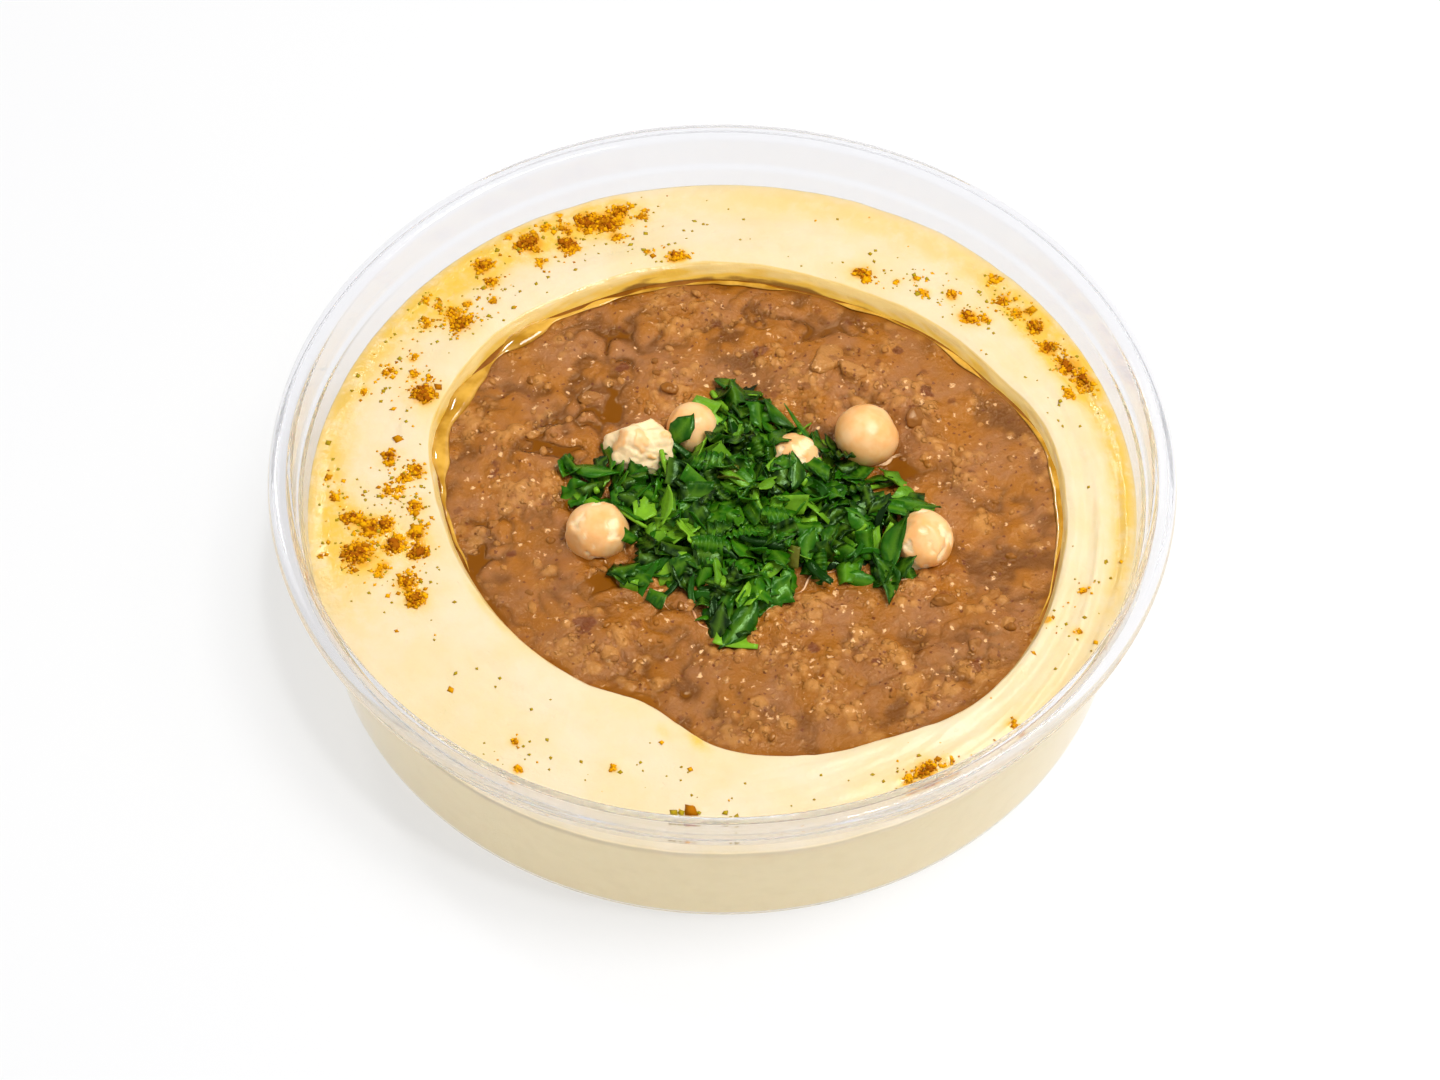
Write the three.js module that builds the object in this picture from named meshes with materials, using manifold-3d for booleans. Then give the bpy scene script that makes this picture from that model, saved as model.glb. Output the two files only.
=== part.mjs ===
// Bowl of ful medames: a clear deli tub of hummus, with mashed fava beans in a spooned well,
// chickpeas, a heap of chopped parsley and clumps of ground spice. Millimetres, +Z up.
// The origin is the middle of the tub's flat foot.

import * as THREE from "three";
import { mergeVertices } from "three/addons/utils/BufferGeometryUtils.js";
import Module from "manifold-3d";

const wasm = await Module();
wasm.setup();

// ---- Driving dimensions -------------------------------------------------------------------

const SEGMENTS = 64; // sides of everything that is turned about the tub's axis
const GAP = 0.3; // clearance between neighbouring pieces

const TUB = {
  height: 35,
  floor: 1.0,
  wall: 0.8,
  footCorner: 2.8, // outside radius between the floor and the wall
  baseRadius: 63.7, // outside, where the wall begins
  wallTop: 27.6,
  wallTopRadius: 66.8, // outside, under the ledge
  ledge: 0.8, // height and depth of the step on which a lid's plug rests
  neckRadius: 68.0, // outside, just under the rolled rim
  rimInner: 67.1,
  rimCrest: 1.2, // width of the flat top of the rim
  skirtRadius: 71.0, // outermost edge of the rolled rim
  skirtDrop: 2.4, // how far the skirt hangs below the rim's top
};

const HUMMUS = {
  level: 23.9, // height of the flat band, on the tub's axis
  tilt: 1.5 / 66, // the far side is a little higher than the near one
  lipHeight: 0.45, // swelling of the band beside the well
  ridge: 0.4, // spoon marks along the right side
  groove: 0.55, // the trough along the far side
  drag: 0.18, // slow rise and fall round the band
  shoulder: 0.5, // how far the band falls where it meets the wall
};

// The well's edge is a spoon's sweep, so it is no circle: radii from the tub's axis, every
// 15 degrees, starting from +X and going towards +Y. The sweep ends near 265 degrees.
const WELL_RADII = [
  54.7, 53.9, 51.0, 49.9, 48.4, 47.9, 48.3, 48.6, 48.8, 49.8, 49.4, 48.8,
  45.7, 43.6, 42.4, 41.9, 41.6, 41.4, 47.4, 50.4, 52.4, 55.3, 55.7, 55.1,
];
// The ful meets the well's wall a little below the lip. The far wall is seen as a slope, and the
// near one is steep.
const WELL = {
  floor: 15.0,
  floorInset: 14,
  nearInset: 0.8, // from the lip in to the ful, on the near side
  farInset: 2.8,
  nearDrop: 1.1, // from the lip down to the ful, on the near side
  farDrop: 2.3,
  slope: [[0.35, 0.2], [0.7, 0.62]], // shares of the inset and of the drop, from the lip down
  bowl: [[0.12, 0.4], [0.36, 0.82], [1, 1]], // the same under the ful, down to the floor
};

const FUL = {
  level: 22.4,
  tilt: 0.6 / 50,
  lump: 0.42, // height of the small unevenness of the mash
  bedDepth: 0.7, // the shallow dip that holds the parsley
  bedRadius: 20,
};

// Larger forms in the mash: place, radius and height of each.
const MOUNDS = [
  { x: 18.2, y: 27.1, radius: 5.2, height: 1.5 }, // broken bean
  { x: 31.2, y: 16.8, radius: 3.4, height: 1.2 },
  { x: 35.1, y: -19.1, radius: 3.0, height: 0.9 },
  { x: 41.0, y: -25.0, radius: 5.5, height: 1.1 },
  { x: 15.0, y: -32.0, radius: 12.0, height: 1.2 },
  { x: -21.0, y: -23.0, radius: 9.0, height: 0.7 },
  { x: -31.0, y: 9.0, radius: 6.5, height: 0.9 },
  { x: 0.0, y: 34.0, radius: 9.0, height: 0.7 },
];

// lift is the height of the middle above the mash, as a share of the radius. turn and tip aim the
// beak, in degrees. long stretches a pea along it, and broken is the roughness of its sides.
const CHICKPEAS = [
  { name: "right", x: 23.0, y: 12.0, radius: 5.2, lift: 0.42, turn: 20, tip: 35 },
  { name: "left", x: -19.6, y: -7.4, radius: 5.1, lift: 0.42, turn: 110, tip: 60, broken: 0.06 },
  { name: "upper_left", x: -13.4, y: 9.2, radius: 4.8, lift: 0.4, turn: 190, tip: 8, long: 1.1, broken: 0.12 },
  { name: "upper_middle", x: -4.9, y: 13.6, radius: 4.2, lift: 0.4, turn: 300, tip: 50, broken: 0.03 },
  { name: "middle", x: 11.6, y: 8.0, radius: 4.3, lift: 0.35, turn: 70, tip: 30, broken: 0.05 },
  { name: "low_right", x: 31.5, y: -8.4, radius: 5.0, lift: 0.36, turn: 160, tip: 45, broken: 0.1 },
];
const CHICKPEA = { around: 14, rings: 8, flattening: 0.06, beak: 0.14, beakWidth: 0.45, seam: 0.05 };

// The heap of parsley. The core is a low mound, and chopped leaves and stalks lie on it.
const PARSLEY = {
  x: 5,
  y: -2,
  height: 2.7,
  coreShare: 0.9, // the core stops short of the outline
  crown: 0.6, // extra unevenness of the core's top
  edge: 0.6, // least thickness of the core
  clearance: 0.6, // from the core down to the mash
  leaves: 100,
  shreds: 10,
  thickness: 0.55,
  spread: 0.98, // pieces lie within this share of the outline
  tilt: 0.35, // most that a piece leans either way, in radians
  smallest: 0.7, // scale of the smallest piece and of the largest
  largest: 1.3,
  lifts: [0.25, 0.5, 0.8], // heights tried for a piece, above the core
  grip: 0.2, // least volume by which a piece must bite into the core
};
const LEAF = { length: 5.2, width: 3.6, fold: 0.5, curlDown: 0.27, curlUp: 0.63 };
const TIP_LEAF = { length: 9.0, width: 3.6, fold: 0.4, dip: 0.1 };
const SHRED = { length: 6.5, width: 1.0, bend: 0.8 };
// How far the heap reaches from its middle, every 15 degrees from +X towards +Y.
const PARSLEY_REACH = [
  29.5, 24.5, 18.5, 18.5, 18.5, 19.5, 25.0, 25.5, 19.5, 18.5, 19.5, 33.0,
  26.5, 21.0, 26.5, 25.5, 21.0, 24.0, 27.0, 18.0, 17.5, 21.0, 28.5, 27.0,
];

// Clumps of ground spice on the hummus: place, and length along and width across the band.
const SPICE_CLUMPS = [
  { x: -32.2, y: 52.8, along: 4.6, across: 2.6 },
  { x: -26.2, y: 52.2, along: 4.2, across: 3.0 },
  { x: -19.6, y: 57.4, along: 5.0, across: 2.6 },
  { x: -23.8, y: 56.0, along: 3.4, across: 2.0 },
  { x: -40.4, y: 47.3, along: 2.6, across: 1.8 },
  { x: -42.8, y: 34.9, along: 3.4, across: 2.6 },
  { x: -54.0, y: 24.8, along: 2.2, across: 1.6 },
  { x: -48.9, y: 19.4, along: 3.6, across: 2.4 },
  { x: -53.5, y: 9.8, along: 2.4, across: 1.8 },
  { x: -57.2, y: -10.4, along: 4.6, across: 3.6 },
  { x: -51.6, y: -8.4, along: 2.8, across: 2.4 },
  { x: -47.9, y: -9.4, along: 3.6, across: 2.0 },
  { x: -48.3, y: -18.2, along: 4.2, across: 2.4 },
  { x: 22.8, y: 46.4, along: 3.2, across: 2.2 },
  { x: 39.9, y: 38.2, along: 2.8, across: 2.2 },
  { x: 44.6, y: 44.6, along: 2.4, across: 1.6 },
  { x: 49.4, y: 38.6, along: 3.8, across: 1.8 },
  { x: 53.0, y: 31.6, along: 3.2, across: 2.2 },
  { x: 57.8, y: 25.0, along: 5.6, across: 2.4 },
  { x: 31.2, y: -51.2, along: 4.2, across: 1.8 },
];
const CLUMP = {
  sides: 7,
  height: 0.55,
  sunk: 0.35,
  shoulder: 0.62, // the shoulder's share of the width
  shoulderHeight: 0.44,
  least: 0.78, // how far the outline wanders, as a share
  most: 1.22,
};

const COLOURS = {
  tub: 0xe8ecf0,
  hummus: 0xf3e0b5,
  ful: 0x9c6a3c,
  chickpea: 0xe3bf83,
  parsley: 0x2f6b1c,
};

// ---- Small helpers ------------------------------------------------------------------------

const radians = THREE.MathUtils.degToRad;

/** Numbers from 0 to 1 that come out the same on every run. */
function seededRandom(seed) {
  let state = seed;
  return () => {
    state = (state * 1664525 + 1013904223) % 4294967296;
    return state / 4294967296;
  };
}

function between(least, most, random) {
  return least + (most - least) * random();
}

/** A round bump that is 1 at its middle and has faded out by about twice its radius. */
function bump(distance, radius) {
  return Math.exp(-((distance / radius) ** 2));
}

const RIGHT = 0;
const FAR = Math.PI / 2;

/** How nearly an angle faces a bearing: 1 straight at it, fading over a spread in radians. */
function towards(angle, bearing, spread) {
  return bump(Math.acos(Math.cos(angle - bearing)), spread);
}

/** A value between the evenly spaced radii of a closed outline, at an angle in radians. */
function outlineRadius(radii, angle) {
  const place = (((angle / (2 * Math.PI)) * radii.length) % radii.length) + radii.length;
  const index = Math.floor(place);
  const part = place - index;
  const at = (step) => radii[(index + step) % radii.length];
  const before = at(radii.length - 1);
  const bend = (at(1) - before) / 2;
  const nextBend = (at(2) - at(0)) / 2;
  const square = part * part;
  const cube = square * part;
  return (
    (2 * cube - 3 * square + 1) * at(0) +
    (cube - 2 * square + part) * bend +
    (3 * square - 2 * cube) * at(1) +
    (cube - square) * nextBend
  );
}

/** Soft unevenness, between about -1 and 1, from a few crossing waves. */
function unevenness(x, y, wavelength) {
  const k = (2 * Math.PI) / wavelength;
  const waves = [
    [0.9, 0.35, 0.4],
    [-0.5, 0.95, 1.9],
    [0.25, -1.15, 3.1],
    [1.3, 0.7, 4.4],
  ];
  const sum = waves.reduce((total, [u, v, shift]) => total + Math.sin(k * (u * x + v * y) + shift), 0);
  return sum / waves.length;
}

/** A closed body from a top point, rings of equal length from top to bottom, and a bottom point. */
function ringBody(top, rings, bottom) {
  const count = rings[0].length;
  const positions = [top, ...rings.flat(), bottom].flat();
  const last = rings.length * count + 1;
  const at = (ring, step) => 1 + ring * count + (step % count);
  const index = [];
  for (let step = 0; step < count; step += 1) {
    index.push(0, at(0, step), at(0, step + 1));
    index.push(last, at(rings.length - 1, step + 1), at(rings.length - 1, step));
    for (let ring = 0; ring < rings.length - 1; ring += 1) {
      index.push(at(ring, step), at(ring + 1, step), at(ring + 1, step + 1));
      index.push(at(ring, step), at(ring + 1, step + 1), at(ring, step + 1));
    }
  }
  const geometry = new THREE.BufferGeometry();
  geometry.setAttribute("position", new THREE.Float32BufferAttribute(positions, 3));
  geometry.setIndex(index);
  return geometry;
}

/** Rings about the tub's axis, from a function that gives [radius, height] steps at each angle. */
function turnedBody(topHeight, stepsAt, bottomHeight) {
  const columns = [];
  for (let step = 0; step < SEGMENTS; step += 1) {
    const angle = (step / SEGMENTS) * 2 * Math.PI;
    columns.push(stepsAt(angle).map(([r, z]) => [r * Math.cos(angle), r * Math.sin(angle), z]));
  }
  const rings = columns[0].map((_, ring) => columns.map((column) => column[ring]));
  return ringBody([0, 0, topHeight], rings, [0, 0, bottomHeight]);
}

function toSolid(geometry) {
  const bare = geometry.clone();
  bare.deleteAttribute("normal");
  bare.deleteAttribute("uv");
  const merged = mergeVertices(bare, 1e-4);
  return new wasm.Manifold(
    new wasm.Mesh({
      numProp: 3,
      vertProperties: new Float32Array(merged.attributes.position.array),
      triVerts: new Uint32Array(merged.index.array),
    }),
  );
}

/** The largest piece of a solid, without loose scraps and with its sealed hollows filled. */
function wholePiece(solid) {
  return solid.decompose().reduce((best, piece) => (piece.volume() > best.volume() ? piece : best));
}

function toGeometry(solid) {
  const mesh = solid.getMesh();
  const geometry = new THREE.BufferGeometry();
  geometry.setAttribute("position", new THREE.Float32BufferAttribute(mesh.vertProperties, 3));
  geometry.setIndex(Array.from(mesh.triVerts));
  return geometry;
}

function named(name, geometry, colour, roughness) {
  geometry.computeVertexNormals();
  const material = new THREE.MeshStandardMaterial({ color: colour, roughness, metalness: 0 });
  const mesh = new THREE.Mesh(geometry, material);
  mesh.name = name;
  return mesh;
}

// ---- Tub ----------------------------------------------------------------------------------

/** Inside radius of the tapered wall at a height. */
function wallInside(z) {
  const share = (z - TUB.footCorner) / (TUB.wallTop - TUB.footCorner);
  return TUB.baseRadius - TUB.wall + share * (TUB.wallTopRadius - TUB.baseRadius);
}

/** A quarter round from the flat foot up to the wall, as [radius, height] steps. */
function cornerSteps(radius, corner, bottom, steps) {
  return Array.from({ length: steps + 1 }, (_, step) => {
    const angle = (step / steps) * (Math.PI / 2);
    return [radius - corner * (1 - Math.sin(angle)), bottom + corner * (1 - Math.cos(angle))];
  });
}

function tubGeometry() {
  const { height, floor, wall, ledge, skirtRadius, rimInner } = TUB;
  const insideCorner = TUB.footCorner - wall;
  const skirtBottom = height - TUB.skirtDrop;
  const outside = [
    [0, 0],
    ...cornerSteps(TUB.baseRadius, TUB.footCorner, 0, 3),
    [TUB.wallTopRadius, TUB.wallTop],
    [TUB.wallTopRadius + ledge, TUB.wallTop + ledge],
    [TUB.neckRadius, height - wall - 0.5],
    [TUB.neckRadius + 1.2, height - wall],
    [skirtRadius - wall, skirtBottom + 0.1],
    [skirtRadius, skirtBottom],
    [skirtRadius - 0.5, height - 0.6],
    [skirtRadius - 1.1, height],
  ];
  const inside = [
    [skirtRadius - 1.1 - TUB.rimCrest, height],
    [rimInner + 0.4, height - 0.25],
    [rimInner, height - 0.8],
    [TUB.wallTopRadius + ledge - wall, TUB.wallTop + ledge + 0.4],
    [TUB.wallTopRadius - wall, TUB.wallTop + 0.4],
    ...cornerSteps(wallInside(TUB.footCorner), insideCorner, floor, 2).reverse(),
    [0, floor],
  ];
  const profile = [...outside, ...inside].map(([r, z]) => new THREE.Vector2(r, z));
  return new THREE.LatheGeometry(profile, SEGMENTS).rotateX(Math.PI / 2);
}

// ---- Hummus -------------------------------------------------------------------------------

/** Height of the hummus band at a share of the way from the well (0) to the wall (1). */
function bandHeight(angle, share, radius) {
  const level = HUMMUS.level + HUMMUS.tilt * radius * Math.sin(angle);
  const lip = HUMMUS.lipHeight * bump(share - 0.14, 0.16);
  const ridges = HUMMUS.ridge * towards(angle, RIGHT, 1.0) * Math.cos(2 * Math.PI * (share * 2.2 - 0.1));
  const groove = -HUMMUS.groove * towards(angle, FAR, 0.9) * bump(share - 0.66, 0.2);
  const drag = HUMMUS.drag * Math.sin(5 * angle + 3 * share);
  const shoulder = -HUMMUS.shoulder * Math.max(0, (share - 0.85) / 0.15) ** 2;
  return level + lip + ridges + groove + drag + shoulder;
}

/** Where the well's lip is, and where the ful meets the wall below it. */
function wellEdge(angle) {
  const lipRadius = outlineRadius(WELL_RADII, angle);
  const lipHeight = bandHeight(angle, 0, lipRadius);
  const far = ((1 + Math.sin(angle)) / 2) ** 2;
  const inset = WELL.nearInset + far * (WELL.farInset - WELL.nearInset);
  const drop = WELL.nearDrop + far * (WELL.farDrop - WELL.nearDrop);
  return { lipRadius, lipHeight, radius: lipRadius - inset, height: lipHeight - drop, inset, drop };
}

/** The wall under the ful, down to the well's floor, moved inwards by a clearance. */
function wallBelow(edge, clearance) {
  const depth = edge.height - WELL.floor;
  return WELL.bowl.map(([inwards, down]) => [
    edge.radius - inwards * WELL.floorInset - clearance,
    edge.height - down * depth + clearance,
  ]);
}

function hummusGeometry() {
  const bandShares = [0.0, 0.13, 0.28, 0.44, 0.6, 0.76, 0.9, 1.0];
  const floor = TUB.floor + GAP;
  const corner = TUB.footCorner - TUB.wall;
  const stepsAt = (angle) => {
    const edge = outlineRadius(WELL_RADII, angle);
    const outer = wallInside(HUMMUS.level) - GAP;
    const band = bandShares.map((share) => {
      const radius = edge + share * (outer - edge);
      return [radius, bandHeight(angle, share, radius)];
    });
    const well = wellEdge(angle);
    const slope = [...WELL.slope, [1, 1]].map(([inwards, down]) => [
      edge - inwards * well.inset,
      well.lipHeight - down * well.drop,
    ]);
    return [
      ...wallBelow(well, 0).reverse(),
      ...slope.reverse(),
      ...band,
      ...cornerSteps(wallInside(TUB.footCorner) - GAP, corner, floor, 2).reverse(),
    ];
  };
  return turnedBody(WELL.floor, stepsAt, floor);
}

/** Height of the hummus band under a place given by x and y. */
function bandHeightAt(x, y) {
  const angle = Math.atan2(y, x);
  const radius = Math.hypot(x, y);
  const edge = outlineRadius(WELL_RADII, angle);
  return bandHeight(angle, (radius - edge) / (wallInside(HUMMUS.level) - GAP - edge), radius);
}

/** A low, uneven clump of spice, half sunk in the hummus, lying along the band. */
function clumpGeometry({ x, y, along, across }, random) {
  const ground = bandHeightAt(x, y);
  const bearing = Math.atan2(y, x) + Math.PI / 2;
  const ring = (share, z) =>
    Array.from({ length: CLUMP.sides }, (_, side) => {
      const angle = (side / CLUMP.sides) * 2 * Math.PI;
      const uneven = between(CLUMP.least, CLUMP.most, random);
      const u = (along / 2) * share * uneven * Math.cos(angle);
      const v = (across / 2) * share * uneven * Math.sin(angle);
      return [
        x + u * Math.cos(bearing) - v * Math.sin(bearing),
        y + u * Math.sin(bearing) + v * Math.cos(bearing),
        z,
      ];
    });
  const rings = [ring(CLUMP.shoulder, ground + CLUMP.shoulderHeight), ring(1, ground - CLUMP.sunk)];
  return ringBody([x, y, ground + CLUMP.height], rings, [x, y, ground - CLUMP.sunk]);
}

function spicedHummusGeometry() {
  const random = seededRandom(11);
  const clumps = SPICE_CLUMPS.map((clump) => toSolid(clumpGeometry(clump, random)));
  return toGeometry(clumps.reduce((whole, clump) => whole.add(clump), toSolid(hummusGeometry())));
}

// ---- Ful ----------------------------------------------------------------------------------

/** Height of the mash's surface. */
function fulHeight(x, y) {
  const bed = FUL.bedDepth * bump(Math.hypot(x - PARSLEY.x, y - PARSLEY.y), FUL.bedRadius);
  const mounds = MOUNDS.reduce(
    (total, mound) => total + mound.height * bump(Math.hypot(x - mound.x, y - mound.y), mound.radius),
    0,
  );
  return FUL.level + FUL.tilt * y - bed + mounds + FUL.lump * unevenness(x, y, 15);
}

function fulGeometry() {
  const surfaceShares = [0.14, 0.28, 0.42, 0.55, 0.67, 0.78, 0.88, 0.95, 1];
  const fadeFrom = 0.78;
  const stepsAt = (angle) => {
    const well = wellEdge(angle);
    const rimRadius = well.radius - 1.5 * GAP;
    const surface = surfaceShares.map((share) => {
      const radius = share * rimRadius;
      const height = fulHeight(radius * Math.cos(angle), radius * Math.sin(angle));
      const fade = Math.max(0, (share - fadeFrom) / (1 - fadeFrom));
      return [radius, height + fade * (well.height - height)];
    });
    return [...surface, ...wallBelow(well, GAP)];
  };
  return turnedBody(fulHeight(0, 0), stepsAt, WELL.floor + GAP);
}

// ---- Chickpeas ----------------------------------------------------------------------------

/** A chickpea: a slightly flattened ball with a beak, a seam and, where broken, rough sides. */
function chickpeaGeometry({ radius, turn, long = 1, broken = 0 }) {
  const geometry = new THREE.SphereGeometry(1, CHICKPEA.around, CHICKPEA.rings);
  const position = geometry.attributes.position;
  const point = new THREE.Vector3();
  for (let vertex = 0; vertex < position.count; vertex += 1) {
    point.fromBufferAttribute(position, vertex).normalize();
    const toBeak = Math.acos(THREE.MathUtils.clamp(point.x, -1, 1));
    const beak = CHICKPEA.beak * bump(toBeak, CHICKPEA.beakWidth);
    const seam = -CHICKPEA.seam * bump(point.y, 0.22) * Math.max(0, point.x + 0.4);
    const flat = -CHICKPEA.flattening * point.z ** 2;
    const rough = broken * unevenness(point.x * 2 + turn, point.y * 2 + point.z * 1.4, 2.6);
    point.multiplyScalar(radius * (1 + beak + seam + flat + rough));
    position.setXYZ(vertex, point.x * long, point.y, point.z);
  }
  return geometry;
}

function chickpeaMesh(chickpea) {
  const mesh = named(`chickpea_${chickpea.name}`, chickpeaGeometry(chickpea), COLOURS.chickpea, 0.45);
  const { x, y, radius, lift, turn, tip } = chickpea;
  mesh.position.set(x, y, fulHeight(x, y) + lift * radius);
  mesh.rotation.set(0, radians(tip), radians(turn), "ZYX");
  mesh.updateMatrix();
  return mesh;
}

/** The room that a chickpea takes out of the mash and the parsley: itself, grown by the gap. */
function chickpeaRoom(mesh, radius) {
  const grown = mesh.geometry.clone();
  const scale = (radius + GAP) / radius;
  grown.scale(scale, scale, scale).applyMatrix4(mesh.matrix);
  return toSolid(grown);
}

// ---- Parsley ------------------------------------------------------------------------------

/** Height of the core's top above the mash, at a share of the way out to the core's edge. */
function parsleyRise(share, x, y) {
  const dome = PARSLEY.height * Math.sqrt(Math.max(0, 1 - share * share));
  return PARSLEY.clearance + Math.max(PARSLEY.edge, dome + PARSLEY.crown * unevenness(x, y, 9));
}

function parsleyCoreGeometry() {
  const shares = [0.3, 0.6, 0.85, 1.0];
  const pointAt = (bearing, share, rise) => {
    const reach = outlineRadius(PARSLEY_REACH, bearing) * PARSLEY.coreShare * share;
    const x = PARSLEY.x + reach * Math.cos(bearing);
    const y = PARSLEY.y + reach * Math.sin(bearing);
    return [x, y, fulHeight(x, y) + rise(share, x, y)];
  };
  const ring = (share, rise) =>
    PARSLEY_REACH.map((_, step) => pointAt((step / PARSLEY_REACH.length) * 2 * Math.PI, share, rise));
  const under = () => PARSLEY.clearance;
  const rings = [
    ...shares.map((share) => ring(share, parsleyRise)),
    ...shares.map((share) => ring(share, under)).reverse(),
  ];
  return ringBody(pointAt(0, 0, parsleyRise), rings, pointAt(0, 0, under));
}

/** One chopped piece of leaf: a thin wavy plate with both faces split into triangles alike. */
function leafGeometry(length, width, fold, curl) {
  const outline = [
    [-length / 2, -width / 4, 0],
    [-length / 2, width / 4, 0],
    [0, -width / 2, fold],
    [0, width / 2, fold],
    [length / 2, 0, curl],
  ];
  const rib = [0, 0, -fold * 0.4];
  const face = [...outline, rib];
  const half = PARSLEY.thickness / 2;
  const shifted = (rise) => face.map(([x, y, z]) => [x, y, z + rise]);
  const positions = [...shifted(half), ...shifted(-half)];
  const triangles = [
    [0, 5, 1],
    [0, 2, 5],
    [1, 5, 3],
    [2, 4, 5],
    [5, 4, 3],
  ];
  const border = [0, 2, 4, 3, 1];
  const index = [];
  triangles.forEach(([a, b, c]) => index.push(a, b, c, a + face.length, c + face.length, b + face.length));
  border.forEach((from, step) => {
    const to = border[(step + 1) % border.length];
    index.push(from, from + face.length, to + face.length, from, to + face.length, to);
  });
  const geometry = new THREE.BufferGeometry();
  geometry.setAttribute("position", new THREE.Float32BufferAttribute(positions.flat(), 3));
  geometry.setIndex(index);
  return geometry;
}

/** A shred of stalk: a thin strip, bent once. */
function shredGeometry(length, width, bend) {
  const geometry = new THREE.BoxGeometry(length, width, PARSLEY.thickness * 1.3, 2, 1, 1);
  const position = geometry.attributes.position;
  for (let vertex = 0; vertex < position.count; vertex += 1) {
    const away = 1 - Math.abs(position.getX(vertex)) / (length / 2);
    position.setZ(vertex, position.getZ(vertex) + bend * away);
  }
  return geometry;
}

/** True where a loose piece would come too near the mash, or a chickpea with its beak. */
function crowds(geometry) {
  const position = geometry.attributes.position;
  for (let vertex = 0; vertex < position.count; vertex += 1) {
    const [x, y, z] = [position.getX(vertex), position.getY(vertex), position.getZ(vertex)];
    if (z < fulHeight(x, y) + 2 * GAP) {
      return true;
    }
    const nearPea = CHICKPEAS.some((pea) => {
      const middle = fulHeight(pea.x, pea.y) + pea.lift * pea.radius;
      return Math.hypot(x - pea.x, y - pea.y, z - middle) < pea.radius * (1 + CHICKPEA.beak) + 3 * GAP;
    });
    if (nearPea) {
      return true;
    }
  }
  return false;
}

/** Lays a piece on the heap at a bearing and a share of the way out, lifts it clear, or gives it up. */
function laidPiece(geometry, bearing, share, spin) {
  const reach = outlineRadius(PARSLEY_REACH, bearing) * share;
  const x = PARSLEY.x + reach * Math.cos(bearing);
  const y = PARSLEY.y + reach * Math.sin(bearing);
  const ground = fulHeight(x, y) + parsleyRise(share / PARSLEY.coreShare, x, y);
  for (const lift of PARSLEY.lifts) {
    const place = new THREE.Vector3(x, y, ground + lift);
    const matrix = new THREE.Matrix4().makeRotationFromEuler(spin).setPosition(place);
    const laid = geometry.clone().applyMatrix4(matrix);
    if (!crowds(laid)) {
      return [laid];
    }
  }
  return [];
}

/** Long leaves that point out of the heap, one at each place where its outline juts out. */
function tipPieces() {
  const count = PARSLEY_REACH.length;
  const juts = (reach, step) =>
    reach > PARSLEY_REACH[(step + 1) % count] && reach > PARSLEY_REACH[(step + count - 1) % count];
  return PARSLEY_REACH.flatMap((reach, step) => {
    if (!juts(reach, step)) {
      return [];
    }
    const bearing = (step / count) * 2 * Math.PI;
    const share = 1 - TIP_LEAF.length / 2 / reach;
    const leaf = leafGeometry(TIP_LEAF.length, TIP_LEAF.width, TIP_LEAF.fold, 0);
    return laidPiece(leaf, bearing, share, new THREE.Euler(0, TIP_LEAF.dip, bearing, "ZYX"));
  });
}

/** Chopped leaves, and then shreds of stalk, strewn over the heap at any bearing and spin. */
function strewnPieces() {
  const random = seededRandom(29);
  const tilt = () => between(-PARSLEY.tilt, PARSLEY.tilt, random);
  return Array.from({ length: PARSLEY.leaves + PARSLEY.shreds }).flatMap((_, piece) => {
    const bearing = random() * 2 * Math.PI;
    const share = Math.sqrt(random()) * PARSLEY.spread;
    const size = between(PARSLEY.smallest, PARSLEY.largest, random);
    const curl = between(-LEAF.curlDown, LEAF.curlUp, random);
    const shape =
      piece < PARSLEY.leaves
        ? leafGeometry(LEAF.length * size, LEAF.width * size, LEAF.fold * size, curl)
        : shredGeometry(SHRED.length * size, SHRED.width, SHRED.bend * random());
    return laidPiece(shape, bearing, share, new THREE.Euler(tilt(), tilt(), random() * 2 * Math.PI, "ZYX"));
  });
}

function parsleyGeometry(rooms) {
  const core = rooms.reduce((left, room) => left.subtract(room), toSolid(parsleyCoreGeometry()));
  const pieces = [...tipPieces(), ...strewnPieces()].map(toSolid);
  const gripping = pieces.filter((piece) => core.intersect(piece).volume() > PARSLEY.grip);
  return toGeometry(wholePiece(gripping.reduce((whole, piece) => whole.add(piece), core)));
}

// ---- The whole ----------------------------------------------------------------------------

const group = new THREE.Group();

const chickpeas = CHICKPEAS.map(chickpeaMesh);
const rooms = chickpeas.map((mesh, index) => chickpeaRoom(mesh, CHICKPEAS[index].radius));
const ful = rooms.reduce((left, room) => left.subtract(room), toSolid(fulGeometry()));

group.add(named("tub", tubGeometry(), COLOURS.tub, 0.1));
group.add(named("hummus", spicedHummusGeometry(), COLOURS.hummus, 0.5));
group.add(named("ful", toGeometry(ful), COLOURS.ful, 0.25));
group.add(named("parsley", parsleyGeometry(rooms), COLOURS.parsley, 0.4));
group.add(...chickpeas);

export default group;
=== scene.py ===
"""The looks of a bowl of ful medames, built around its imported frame.

A clear deli tub is filled with hummus. A spooned well in it holds mashed fava beans, and chickpeas,
chopped parsley and ground spice lie on top. Sizes are in millimetres until a mesh is made.
"""

import functools
import itertools
import logging
import math
from collections.abc import Sequence
from dataclasses import dataclass, field
from enum import Enum
from typing import Any

import bpy
import numpy as np
from bpy.types import Material, Node, NodeTree, Object, World
from bpy.types import NodeSocket as Socket
from mathutils import Matrix, Vector


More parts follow.
